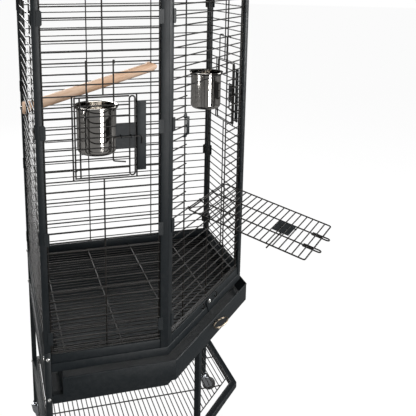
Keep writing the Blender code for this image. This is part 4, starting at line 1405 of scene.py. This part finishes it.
# ------------------------------------------------------------------ landing door
@dataclass
class LandingDoor:
    """The fold-down wire door with its plate, bolt and loops."""

    slope: float = 12.0
    start: float = 0.00345
    length: float = 0.31835
    width: float = 0.238
    cells: int = 19
    plate_at: float = 0.227
    plate: tuple[float, float] = (0.066, 0.046)
    loop_reach: float = 0.018
    loop_width: float = 0.016
    loop_root: float = 0.030
    bolt_wire: float = 0.0036
    bolt_below: float = -0.0060
    bolt_inner: float = 0.030
    tip: float = 0.126
    handle: float = 0.026
    hinge_side: float = 0.225
    hinge_row: int = 12
    weld: float = 0.0004
    bend: float = 0.006
    ring_wire: float = 0.0022
    ring_radius: float = 0.0032
    ring_inset: float = 0.012
    sheet: float = 0.0016
    sheet_rounding: float = 0.0005
    guide_wire: float = 0.0018
    guide_room: float = 0.0013
    guide_bend: float = 0.002
    guide_root: float = -0.001
    loop_bend: float = 0.001
    bolt_bend: float = 0.004
    guides_at: tuple[float, ...] = (-0.15, 0.62)
    rivets_at: float = 0.7

    def __post_init__(self) -> None:
        """Set out the door's own frame: X along the hinge, Y away from it, Z up."""
        slope = math.radians(self.slope)
        outward = FRONT.outward * math.cos(slope) - UP * math.sin(slope)
        sideways = -FRONT.along
        hinge = FRONT.at(self.hinge_side, PLAN.row_z(self.hinge_row), PLAN.grid_depth)
        self.place = frame_matrix(sideways, outward, sideways.cross(outward), hinge)

    def at(self, x: float, y: float, z: float) -> Vector:
        """A point of the door's frame in the cage's frame."""
        return self.place @ Vector((x, y, z))

    def build(self) -> None:
        """Make the door, its bolt and the strap that the bolt slides under."""
        half, end = self.width / 2, self.start + self.length
        rod, edge = RodStock(PLAN.wire), RodStock(PLAN.edge_wire)
        e = PLAN.edge_wire / 2
        border = [self.at(x, y, 0) for x, y in ((-half + e, self.start + e),
                                                (half - e, self.start + e),
                                                (half - e, end - e), (-half + e, end - e))]
        parts = [bent_wire(border, PLAN.edge_wire, self.bend, closed=True)]
        third = self.width / 6
        below = -(PLAN.wire / 2 + e - self.weld)
        pitch = (self.length - 2 * e) / self.cells
        for x in (-third, third):
            parts.append(edge.cut(self.at(x, self.start + e, below), self.at(x, end - e, below)))
        for k in range(1, self.cells):
            y = self.start + e + k * pitch
            parts.append(rod.cut(self.at(-half + e, y, 0), self.at(half - e, y, 0)))
        for x in (-third, third):
            r = (self.loop_width - PLAN.edge_wire) / 2
            tip = end + self.loop_reach - self.loop_width / 2
            path = [self.at(x - r, end - self.loop_root, below)]
            path += [self.at(x + r * math.cos(t), tip + r * math.sin(t), below)
                     for t in arc(180.0, 0.0, 10)]
            path.append(self.at(x + r, end - self.loop_root, below))
            parts.append(bent_wire(path, PLAN.edge_wire, self.loop_bend))
        r = self.ring_radius
        for x in (-half + self.ring_inset, -third, third, half - self.ring_inset):
            ring = [self.at(x, r * math.cos(t), r * math.sin(t)) for t in full_turn(14)]
            parts.append(bent_wire(ring, self.ring_wire, NO_BEND, closed=True))
        rod.put_away()
        edge.put_away()
        finish_joined(parts, "landing_door_wires", BLACK_WIRE, Slot.WIRE, "landing_door",
                      "landing_door")
        self.latch()

    def latch(self) -> None:
        """The plate with its two guides, and the sliding bolt."""
        width, height = self.plate
        face = self.sheet / 2
        plate = outline_plate(rectangle(width, height), self.sheet, self.sheet_rounding)
        settle(plate, self.place @ Matrix.Translation((0, self.plate_at, -face)))
        guides = [plate]
        r, z = self.bolt_wire / 2 + self.guide_room, self.bolt_below
        near, far = self.plate_at - r, self.plate_at + r
        for share in self.guides_at:
            x = share * width / 2
            path = [self.at(x, near, self.guide_root), self.at(x, near, z - r),
                    self.at(x, far, z - r), self.at(x, far, self.guide_root)]
            guides.append(bent_wire(path, self.guide_wire, self.guide_bend))
        for x, y in rectangle(width * self.rivets_at, height * self.rivets_at):
            rivet = turned([(0, 0.0012), (0.0022, 0.0009), (0.0032, 0), (0, 0)], 12)
            settle(rivet, self.place @ Matrix.Translation((x, self.plate_at + y, face)))
            guides.append(rivet)
        finish_joined(guides, "landing_plate", HAMMERTONE, Slot.COAT, "landing_door")
        inner = -self.bolt_inner
        path = [(inner, self.plate_at + self.handle, z), (inner, self.plate_at, z),
                (self.tip, self.plate_at, z)]
        bolt = bent_wire([self.at(*p) for p in path], self.bolt_wire, self.bolt_bend)
        finish_piece(bolt, "landing_bolt", BLACK_WIRE, Slot.WIRE, "landing_latch",
                     "landing_latch")
        finish_sheet("landing_keeper", "landing_strap", SHEET_EDGE, "cage")


# ------------------------------------------------------------------ feeder stations
@dataclass
class FeederStation:
    """A side wall's feeder door, latch, cup and cup hanger."""

    side: str
    hinge: float = 0.086
    edge: float = 0.233
    clearance: float = 0.0012
    row: int = 17
    rows: int = 8
    stile: float = 0.014
    loop: float = 0.017
    plate: tuple[float, float] = (0.048, 0.060)
    cup_side: float = 0.150
    cup_depth: float = 0.070
    cup_radius: float = 0.0478
    rim_radius: float = 0.0545
    rim_z: float = 0.602
    cup_height: float = 0.118
    hanger_wire: float = 0.0036
    hanger_spread: float = 0.063
    hanger_row: int = 28
    latch_wire: float = 0.0036
    latch_air: float = 0.0030
    latch_bend: float = 0.005
    latch_route: tuple[tuple[float, float], ...] = (
        (-0.027, -0.060), (-0.057, -0.056), (-0.056, 0.0), (0.013, 0.0), (0.012, -0.019))
    loop_step: float = 0.0005
    ring_wire: float = 0.002
    ring_radius: float = 0.003
    ring_inset: float = 0.02
    sheet: float = 0.0014
    sheet_rounding: float = 0.0005
    guide_wire: float = 0.0018
    guide_room: float = 0.0013
    guide_bend: float = 0.002
    guide_spread: float = 0.012
    cup_sheet: float = 0.0009
    cup_corner: float = 0.014
    rim_bead: float = 0.0013
    cup_sides: int = 72
    ring_room: float = 0.0008
    ring_drop: float = 0.0024
    hook_drop: float = 0.007
    hook_bend: float = 0.004

    @property
    def wall(self) -> Wall:
        """The side wall that the station is on."""
        return WALLS[self.side + "_side"]

    def at(self, side: float, z: float, depth: float) -> Vector:
        """A point on the wall, with the side measured from its back corner."""
        wall = self.wall
        return wall.at(side if self.side == "left" else wall.length - side, z, depth)

    def build(self) -> None:
        """Make the door, its latch, the cup and its hanger."""
        self.door()
        self.latch()
        self.cup()
        self.hanger()

    def door(self) -> None:
        """The small wire door with its solid latch plate."""
        low = PLAN.row_z(self.row) + PLAN.wire / 2 + self.clearance
        high = PLAN.row_z(self.row + self.rows) - PLAN.wire / 2 - self.clearance
        left, right = self.hinge + self.clearance, self.edge - self.clearance
        e = PLAN.edge_wire / 2
        depth = PLAN.grid_depth
        rod, edge = RodStock(PLAN.wire), RodStock(PLAN.edge_wire)
        back = PLAN.upright_depth
        inner = right - self.loop + e
        parts = [edge.cut(self.at(left + e, low, depth), self.at(left + e, high, depth)),
                 edge.cut(self.at(left + self.stile, low + e, back),
                          self.at(left + self.stile, high - e, back))]
        for z in (low + e, high - e):
            parts.append(edge.cut(self.at(left + e, z, depth), self.at(inner, z, depth)))
        for k in range(1, self.rows):
            z = PLAN.row_z(self.row + k)
            parts.append(rod.cut(self.at(left + e, z, depth), self.at(inner, z, depth)))
        outer = right - e
        turn = (outer - inner) / 2
        tall = [self.at((inner + outer) / 2 + turn * math.cos(t), z + turn * math.sin(t),
                        depth - self.loop_step)
                for z, first in ((high - turn - e, 0.0), (low + turn + e, 180.0))
                for t in arc(first, first + 180.0, 10)]
        parts.append(bent_wire(tall, PLAN.edge_wire, NO_BEND, closed=True))
        r = self.ring_radius
        for z in (low + self.ring_inset, high - self.ring_inset):
            ring = [self.at(left + e + r * math.cos(t), z, depth + r * math.sin(t))
                    for t in full_turn(12)]
            parts.append(bent_wire(ring, self.ring_wire, NO_BEND, closed=True))
        rod.put_away()
        edge.put_away()
        body = "feeder_door_" + self.side
        finish_joined(parts, body + "_wires", BLACK_WIRE, Slot.WIRE, body, body)
        self.door_plate(body)

    def door_plate(self, body: str) -> None:
        """The door's solid latch plate, with the two guides that the latch turns in.

        Args:
            body: The door's body.
        """
        plate = outline_plate(rectangle(*self.plate), self.sheet, self.sheet_rounding)
        middle = self.edge - self.plate[0] / 2 - self.clearance
        z, depth, wall = self.latch_z, PLAN.grid_depth, self.wall
        settle(plate, frame_matrix(wall.along, UP, wall.outward,
                                   self.at(middle, z, depth - self.sheet / 2)))
        guides = [plate]
        r = self.latch_wire / 2 + self.guide_room
        front = self.latch_depth - r
        for s in (middle - self.guide_spread, middle + self.guide_spread):
            path = [self.at(s, z - r, depth), self.at(s, z - r, front),
                    self.at(s, z + r, front), self.at(s, z + r, depth)]
            guides.append(bent_wire(path, self.guide_wire, self.guide_bend))
        finish_joined(guides, "feeder_plate_" + self.side, HAMMERTONE, Slot.COAT, body)

    @property
    def latch_z(self) -> float:
        """The height of the latch's long wire."""
        return PLAN.row_z(self.row) + PLAN.pitch * self.rows / 2

    @property
    def latch_depth(self) -> float:
        """How far behind the wall's outer face the latch wire's middle lies."""
        return (PLAN.grid_depth - PLAN.wire / 2 - self.latch_air - 2 * PLAN.gap
                - self.latch_wire / 2)

    def latch(self) -> None:
        """The bent wire latch and the keeper strap."""
        path = [self.at(self.edge + s, self.latch_z + rise, self.latch_depth)
                for s, rise in self.latch_route]
        wire = bent_wire(path, self.latch_wire, self.latch_bend)
        body = "feeder_latch_" + self.side
        finish_piece(wire, body + "_wire", BLACK_WIRE, Slot.WIRE, body, body)
        finish_sheet("latch_keeper_" + self.side, "keeper_bar_" + self.side, SHEET_EDGE,
                     "cage")

    def cup(self) -> None:
        """The spun steel cup with a rolled rim."""
        r, t, h = self.cup_radius, self.cup_sheet, self.cup_height
        corner, rim, bead = self.cup_corner, self.rim_radius, self.rim_bead
        outer = [(r - corner + corner * math.sin(a), -h + corner - corner * math.cos(a))
                 for a in arc(0.0, 90.0, 8)]
        inner = [(x - t * min(1.0, x / r), z + t) for x, z in reversed(outer[1:])]
        lip = [(r, -0.0022), (r + 0.0012, -0.0009), (rim - 2 * bead, -0.0004)]
        lip += [(rim - bead + bead * math.cos(a), -bead + bead * math.sin(a) + 0.0006)
                for a in arc(-120.0, 120.0, 8)]
        lip += [(rim - 2.2 * bead, 0.0003), (r + 0.0006, -0.0002), (r - t - 0.0006, -0.0012),
                (r - t, -0.003)]
        foot = [(0, -h + 0.0012), (r * 0.55, -h + 0.0012), (r * 0.6, -h)]
        profile = foot + outer + lip + inner + [(r * 0.58, -h + t), (r * 0.54, -h + t + 0.0012),
                                                (0, -h + t + 0.0012)]
        cup = turned(profile, self.cup_sides, 40.0)
        settle(cup, Matrix.Translation(self.at(self.cup_side, PLAN.floor_z + self.rim_z,
                                               self.cup_depth)))
        finish_piece(cup, "steel_cup_" + self.side, STAINLESS, Slot.STEEL, "cup_" + self.side,
                     "cup_" + self.side)

    def hanger(self) -> None:
        """The wire ring under the cup's rim, hooked over the wall."""
        half = self.hanger_wire / 2
        ring = self.cup_radius + half + self.ring_room
        ring_z = PLAN.floor_z + self.rim_z - PLAN.gap - half - self.ring_drop
        hook_z = PLAN.row_z(self.hanger_row) + PLAN.wire / 2 + PLAN.gap + half
        inside = PLAN.grid_depth + PLAN.wire / 2 + PLAN.edge_wire + half
        outside = PLAN.grid_depth - PLAN.wire / 2 - PLAN.gap - half
        first = math.degrees(math.asin(self.hanger_spread / 2 / ring))

        def hook(side: float) -> list[Vector]:
            """One leg, from its tip outside the wall down to the ring's height."""
            return [self.at(side, z, depth) for z, depth in (
                (hook_z - self.hook_drop, outside), (hook_z, outside), (hook_z, inside),
                (ring_z, inside))]

        circle = [self.at(self.cup_side - ring * math.sin(a), ring_z,
                          self.cup_depth - ring * math.cos(a))
                  for a in arc(first, 360.0 - first, 32)]
        left = hook(self.cup_side - self.hanger_spread / 2)
        right = hook(self.cup_side + self.hanger_spread / 2)
        wire = bent_wire(left + circle + right[::-1], self.hanger_wire, self.hook_bend)
        finish_piece(wire, "cup_ring_" + self.side, BLACK_WIRE, Slot.WIRE, "cage",
                     "cup_hanger_" + self.side)


# ------------------------------------------------------------------ perch
@dataclass
class Perch:
    """A round beech bar screwed between the two back walls."""

    diameter: float = 0.033
    past_left_upright: float = 0.013
    before_right_upright: float = 0.005
    left_row: float = 20.5
    right_row: float = 23.5
    cap_diameter: float = 0.037
    cap_thickness: float = 0.009
    blank_length: float = 1.3
    rounding: float = 0.0012

    def build(self) -> None:
        """Turn the bar, cut its ends to the walls and add the caps and screws."""
        wires = PLAN.grid_depth
        upright = PLAN.long_wall / 3
        start = WALLS["back_left"].at(upright - self.past_left_upright,
                                      PLAN.row_z(self.left_row), wires)
        end = WALLS["back_right"].at(upright + self.before_right_upright,
                                     PLAN.row_z(self.right_row), wires)
        run = (end - start).normalized()
        centre = (start + end) / 2
        wood = Beech("beech_bar", (0.68, 0.48, 0.345), roughness=0.58, along=tuple(run),
                     centre=tuple(centre))
        bpy.ops.object.select_all(action="DESELECT")
        bpy.ops.mesh.primitive_cylinder_add(vertices=40, radius=self.diameter / 2,
                                            depth=(end - start).length * self.blank_length)
        bar = settle(bpy.context.object, axis_matrix(centre, run))
        select_only(bar)
        bpy.ops.object.mode_set(mode="EDIT")
        for name in ("back_left", "back_right"):
            wall = WALLS[name]
            plane = wall.at(0, 0, PLAN.upright_depth + PLAN.edge_wire / 2 + PLAN.gap)
            bpy.ops.mesh.select_all(action="SELECT")
            bpy.ops.mesh.bisect(plane_co=plane, plane_no=wall.outward, use_fill=True,
                                clear_outer=True)
        bpy.ops.object.mode_set(mode="OBJECT")
        bevel(bar, self.rounding, 2, 50.0)
        shade(bar)
        finish_piece(bar, "perch_bar", wood, Slot.WOOD, "cage", "perch")
        for name, point in (("back_left", start), ("back_right", end)):
            self.cap(WALLS[name], point, name.split("_")[1], wood)

    def cap(self, wall: Wall, point: Vector, side: str, wood: Finish) -> None:
        """A wooden cap and its screw outside a wall.

        Args:
            wall: The wall.
            point: Where the bar's middle line meets it.
            side: Which end of the perch.
            wood: The bar's own finish.
        """
        r, t = self.cap_diameter / 2, self.cap_thickness
        cap = turned([(0, t), (r - 0.0035, t), (r - 0.001, t - 0.001), (r, t - 0.0035),
                      (r, 0.0012), (r - 0.0012, 0), (0, 0)], 40)
        place = axis_matrix(point + wall.outward * (PLAN.wire / 2 + PLAN.gap), wall.outward)
        finish_piece(settle(cap, place), "perch_end_" + side, wood, Slot.WOOD, "cage",
                     "perch_cap_" + side)
        washer = turned([(0, 0.0012), (0.0075, 0.0012), (0.0085, 0.0004), (0.0085, 0),
                         (0, 0)], 24)
        nut = turned([(0, 0.006), (0.0042, 0.006), (0.0052, 0.0052), (0.0052, 0.001),
                      (0, 0.001)], 6)
        stack = place @ Matrix.Translation((0, 0, t))
        finish_joined([settle(washer, stack), settle(nut, stack)], "perch_screw_" + side,
                      BRIGHT_ZINC, Slot.CHROME, "cage")


# ------------------------------------------------------------------ tray
@dataclass
class DirtTray:
    """The slide-out tray with its ring pull, and the button that keeps it shut."""

    ring_width: float = 0.068
    ring_reach: float = 0.036
    ring_wire: float = 0.0045
    rise: float = 15.0
    stands_out: float = 0.028
    lip_wire: float = 0.0036
    lip_below: float = 0.0021
    lip_bend: float = 0.004
    lip_insets: tuple[float, ...] = (0.0055, 0.0055, 0.0055, 0.0225, 0.0225)
    staple_wire: float = 0.0022
    staple_side: float = 0.006
    staple_out: float = 0.0066
    staple_lift: float = 0.005
    hook_wire: float = 0.0032
    hook_side: float = 0.041
    hook_bend: float = 0.003
    hook_low: float = -0.012
    hook_high: float = 0.002
    hook_out: float = -0.007
    hook_tip: float = -0.003
    staple_root: float = -0.0005
    staple_bend: float = 0.003
    plate_rounding: float = 0.0007
    screw_below: float = 0.009
    screw_out: float = -0.0031

    def build(self) -> None:
        """Round the tray's folds, hang the ring and make the button."""
        finish_sheet("tray", "tray_pan", SHEET_EDGE, "tray")
        self.lip()
        self.ring()
        self.button()

    def lip(self) -> None:
        """A rolled edge round the tray's top."""
        shift = (FRONT.outward * self.stands_out
                 + UP * (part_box("tray")[1].z - self.lip_below))
        corners = [p + shift for p in PLAN.inset(self.lip_insets)]
        lip = bent_wire(corners, self.lip_wire, self.lip_bend, closed=True)
        finish_piece(lip, "tray_lip", HAMMERTONE, Slot.COAT, "tray")

    def ring(self) -> None:
        """The ring pull and its eye."""
        low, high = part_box("ring_pull")
        across = (self.ring_width - self.ring_wire) / 2
        reach = (self.ring_reach - self.ring_wire) / 2
        rise = math.radians(self.rise)
        outward = FRONT.outward * math.cos(rise) + UP * math.sin(rise)
        top = Vector((0.0, high.y - self.ring_wire / 2, low.z + self.ring_wire / 2))
        path = [top + FRONT.along * across * math.sin(a) + outward * reach * (1 - math.cos(a))
                for a in full_turn(48)]
        ring = bent_wire(path, self.ring_wire, NO_BEND, closed=True, sides=5)
        finish_piece(ring, "pull_ring", BRASSY_WIRE, Slot.WIRE, "ring_pull", "ring_pull")
        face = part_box("tray")[0].y
        root, out, side = self.staple_root, self.staple_out, self.staple_side
        eye = [Vector((x, face - reach, top.z + self.staple_lift)) for x, reach in (
            (-side, root), (-side, out), (side, out), (side, root))]
        staple = bent_wire(eye, self.staple_wire, self.staple_bend)
        finish_piece(staple, "pull_staple", HAMMERTONE, Slot.COAT, "tray")

    def button(self) -> None:
        """The three-cornered button, its bright screw and the two hooks beside it."""
        finish_sheet("turn_button", "turn_plate", self.plate_rounding, "turn_button")
        hooks = []
        low, high = PLAN.floor_z + self.hook_low, PLAN.floor_z + self.hook_high
        for side in (-self.hook_side, self.hook_side):
            path = [FRONT.at(FRONT_MIDDLE + side, z, depth) for z, depth in (
                (low, 0.0), (low, self.hook_out), (high, self.hook_out),
                (high, self.hook_tip))]
            hooks.append(bent_wire(path, self.hook_wire, self.hook_bend))
        finish_joined(hooks, "button_hooks", BLACK_WIRE, Slot.WIRE, "cage")
        pivot = FRONT.at(FRONT_MIDDLE, PLAN.floor_z - self.screw_below, self.screw_out)
        head = turned([(0, 0.0032), (0.0018, 0.0032), (0.0021, 0.0040), (0.0045, 0.0036),
                       (0.0062, 0.0022), (0.0066, 0), (0, 0)], 24)
        finish_piece(settle(head, axis_matrix(pivot, FRONT.outward)), "turn_screw", BRIGHT_ZINC,
                     Slot.CHROME, "turn_button")


# ------------------------------------------------------------------ casters
@dataclass
class Casters:
    """Swivel casters: a bearing head, a pressed fork and a tyred wheel."""

    height: float = 0.068
    trail: float = 0.022
    wheel: float = 0.050
    wheel_width: float = 0.020
    sheet: float = 0.0025
    heading: float = 31.0
    clearance: float = 0.0003
    head_height: float = 0.008
    cheek_room: float = 0.0015
    fork_back: float = -0.011
    fork_front: float = 0.019
    axle_eye: float = 0.010

    def build(self) -> None:
        """Make the four casters."""
        ahead = FRONT.outward
        turns = {"left": -self.heading, "right": self.heading, "back": 0.0, "front": 0.0}
        for side, turn in turns.items():
            low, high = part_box("leg_" + side)
            middle = Vector(((low.x + high.x) / 2, (low.y + high.y) / 2, 0))
            trail = Matrix.Rotation(math.radians(turn), 3, "Z") @ ahead
            across = UP.cross(trail)
            self.one(side, frame_matrix(trail, across, UP, middle))

    def one(self, side: str, place: Matrix) -> None:
        """Make one caster.

        Args:
            side: Which leg it stands under.
            place: Its place, with X the way that it trails and Z up.
        """
        axle = sum(corner.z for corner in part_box("caster_wheel_" + side)) / 2
        self.fork(side, place, axle)
        self.roller(side, place @ axis_matrix(Vector((self.trail, 0, axle)), Vector((0, 1, 0))))

    def fork(self, side: str, place: Matrix, axle: float) -> None:
        """Press the fork with its bearing head and axle nuts.

        Args:
            side: Which leg it stands under.
            place: Its place, with X the way that it trails and Z up.
            axle: The axle's height.
        """
        top = self.height - self.clearance
        inner = self.wheel_width / 2 + self.cheek_room
        crown = top - self.head_height
        parts = [turned([(0, top), (0.009, top), (0.0108, top - 0.0012), (0.0108, top - 0.0030),
                         (0.0098, top - 0.0040), (0.0110, top - 0.0052), (0.0110, crown),
                         (0, crown)], 28)]
        back, front, eye = self.fork_back, self.fork_front, self.axle_eye
        cheek = [(back, crown), (back, crown - 0.006), (back + 0.006, axle + 0.008)]
        cheek += [(self.trail + eye * math.cos(a), axle + eye * math.sin(a))
                  for a in arc(200.0, 380.0, 9)]
        cheek += [(self.trail + 0.0105, axle + 0.008), (front + 0.002, crown - 0.006),
                  (front, crown)]
        for sign in (-1, 1):
            plate = outline_plate(cheek, self.sheet, 0.0007)
            up = Matrix.Rotation(math.pi / 2, 4, "X")
            offset = inner + self.sheet if sign > 0 else -inner
            settle(plate, Matrix.Translation((0, offset, 0)) @ up)
            parts.append(plate)
        wide = inner + self.sheet
        bridge = outline_plate([(back, -wide), (front, -wide), (front, wide), (back, wide)],
                               self.sheet, 0.0009)
        parts.append(settle(bridge, Matrix.Translation((0, 0, crown - self.sheet))))
        for sign in (-1, 1):
            nut = turned([(0, 0.0028), (0.0038, 0.0028), (0.0046, 0.0020), (0.0046, 0),
                          (0, 0)], 6)
            turn = axis_matrix(Vector((self.trail, sign * wide, axle)), Vector((0, sign, 0)))
            parts.append(settle(nut, turn))
        fork = join("fork_" + side + "_pressing", parts)
        finish_piece(settle(fork, place), "fork_" + side + "_pressing", CHROME, Slot.CHROME,
                     "fork_" + side, "caster_fork_" + side)

    def roller(self, side: str, place: Matrix) -> None:
        """Mould the wheel: a tyre on a dished hub, both alike on their two faces.

        Args:
            side: Which leg the caster stands under.
            place: The wheel's place, with Z along its axle.
        """
        r, half = self.wheel / 2, self.wheel_width / 2
        tread = [(r * 0.66, half - 0.003), (r * 0.90, half - 0.0028),
                 (r * 0.985, half - 0.005), (r, half - 0.0075)]
        dish = [(0, half + 0.0006), (0.0085, half + 0.0006), (0.009, half - 0.003),
                (r * 0.50, half - 0.0055), (r * 0.66, half - 0.0045),
                (r * 0.70, half - 0.0028)]
        tyre, hub = (turned(shape + [(x, -z) for x, z in reversed(shape)], sides)
                     for shape, sides in ((tread, 48), (dish, 36)))
        finish_piece(settle(tyre, place), "tyre_" + side, WHEEL_RUBBER, Slot.RUBBER,
                     "wheel_" + side, "caster_wheel_" + side)
        finish_piece(settle(hub, place), "hub_" + side, HUB_PLASTIC, Slot.RUBBER,
                     "wheel_" + side)


# ------------------------------------------------------------------ studio
@dataclass
class Studio:
    """A pale floor, soft light and the camera."""

    lens: float = 54.4
    shift_x: float = 0.139
    shift_y: float = -0.236
    camera_uwz: tuple[float, float, float] = (-0.092, -1.382, 0.908)
    yaw: float = 14.48
    pitch: float = 12.25
    floor_glow: float = 0.94
    surround: float = 0.40
    mirrored: float = 0.05
    floor_mirrored: float = 0.12
    paper: float = 0.06
    floor_size: float = 60.0
    floor_z: float = -0.0005
    aim_z: float = 0.9
    sensor: float = 36.0

    def build(self) -> None:
        """Set up the floor, the lights, the sky and the camera."""
        self.floor()
        self.lights()
        self.sky()
        self.camera()

    def floor(self) -> None:
        """A wide floor that is white to the camera and dark to shine."""
        bpy.ops.object.select_all(action="DESELECT")
        bpy.ops.mesh.primitive_plane_add(size=self.floor_size, location=(0, 0, self.floor_z))
        floor = bpy.context.object
        floor.name = "studio_floor"
        material = bpy.data.materials.new("studio_paper")
        material.use_nodes = True
        shader = material.node_tree.nodes["Principled BSDF"]
        shader.inputs["Base Color"].default_value = (self.paper,) * 3 + (1,)
        shader.inputs["Roughness"].default_value = 0.9
        shader.inputs["Specular IOR Level"].default_value = 0.0
        shader.inputs["Emission Color"].default_value = (1, 1, 1, 1)
        n = Nodes(material.node_tree)
        seen = n.add("LightPath").outputs["Is Camera Ray"]
        n.feed(shader, "Emission Strength", n.spread(seen, self.floor_mirrored, self.floor_glow))
        floor.data.materials.append(material)

    def area(self, name: str, place: Vector, target: Vector, size: tuple[float, float],
             power: float) -> None:
        """Hang one soft light.

        Args:
            name: The light's name.
            place: Where it hangs.
            target: The point that it is aimed at.
            size: Its width and height.
            power: Its power in watts.
        """
        light = bpy.data.lights.new(name, "AREA")
        light.shape = "RECTANGLE"
        light.size, light.size_y = size
        light.energy = power
        obj = bpy.data.objects.new(name, light)
        bpy.context.collection.objects.link(obj)
        obj.location = place
        obj.rotation_euler = (target - place).to_track_quat("-Z", "Y").to_euler()

    def lights(self) -> None:
        """A tall key by the camera, one at the right front, two behind and one overhead."""
        aim = Vector((0, 0, self.aim_z))
        for name, place, size, power in (
                ("key_light", (-1.56, -2.90, 1.3), (0.8, 2.6), 85),
                ("front_light", (2.6, -2.9, 1.9), (1.4, 2.2), 110),
                ("edge_light", (-3.2, 1.9, 1.5), (1.0, 2.2), 60),
                ("rim_light", (2.6, 3.2, 2.6), (1.6, 2.0), 90),
                ("top_light", (0.2, 0.4, 4.2), (2.5, 2.5), 80)):
            self.area(name, Vector(place), aim, size, power)

    def sky(self) -> None:
        """A surround that is white to the camera, grey to soft light and dark to shine."""
        world = bpy.data.worlds.new("studio_sky")
        world.use_nodes = True
        n = Nodes(world.node_tree)
        background = world.node_tree.nodes["Background"]
        path = n.add("LightPath")
        hidden = n.mix(path.outputs["Is Glossy Ray"], (self.surround,) * 3,
                       (self.mirrored,) * 3)
        n.feed(background, "Color", n.mix(path.outputs["Is Camera Ray"], hidden, (1.0,) * 3))
        background.inputs["Strength"].default_value = 1.0
        bpy.context.scene.world = world
        bpy.context.scene.view_settings.view_transform = "Standard"

    def camera(self) -> None:
        """The camera, set out from the left front corner along the two long walls."""
        u, w, z = self.camera_uwz
        root = math.sqrt(0.5)
        left = PLAN.corners[0]
        place = Vector(((u + w) * root + left.x, (w - u) * root + left.y, PLAN.floor_z + z))
        yaw, pitch = math.radians(self.yaw), math.radians(self.pitch)
        du, dw = math.sin(yaw) * math.cos(pitch), math.cos(yaw) * math.cos(pitch)
        look = Vector(((du + dw) * root, (dw - du) * root, -math.sin(pitch)))
        data = bpy.data.cameras.new("camera")
        data.lens = self.lens
        data.sensor_width = self.sensor
        data.shift_x = self.shift_x
        data.shift_y = self.shift_y
        camera = bpy.data.objects.new("camera", data)
        bpy.context.collection.objects.link(camera)
        camera.location = place
        camera.rotation_euler = look.to_track_quat("-Z", "Y").to_euler()
        bpy.context.scene.camera = camera


def main() -> None:
    """Build every sub-assembly in order, then the studio."""
    SteelFrame().build()
    Fasteners().build()
    WireWalls().build()
    FlatGrilles().build()
    LandingDoor().build()
    for side in ("left", "right"):
        FeederStation(side).build()
    Perch().build()
    DirtTray().build()
    Casters().build()
    Studio().build()
    bpy.context.view_layer.update()


if __name__ == "__main__":
    main()
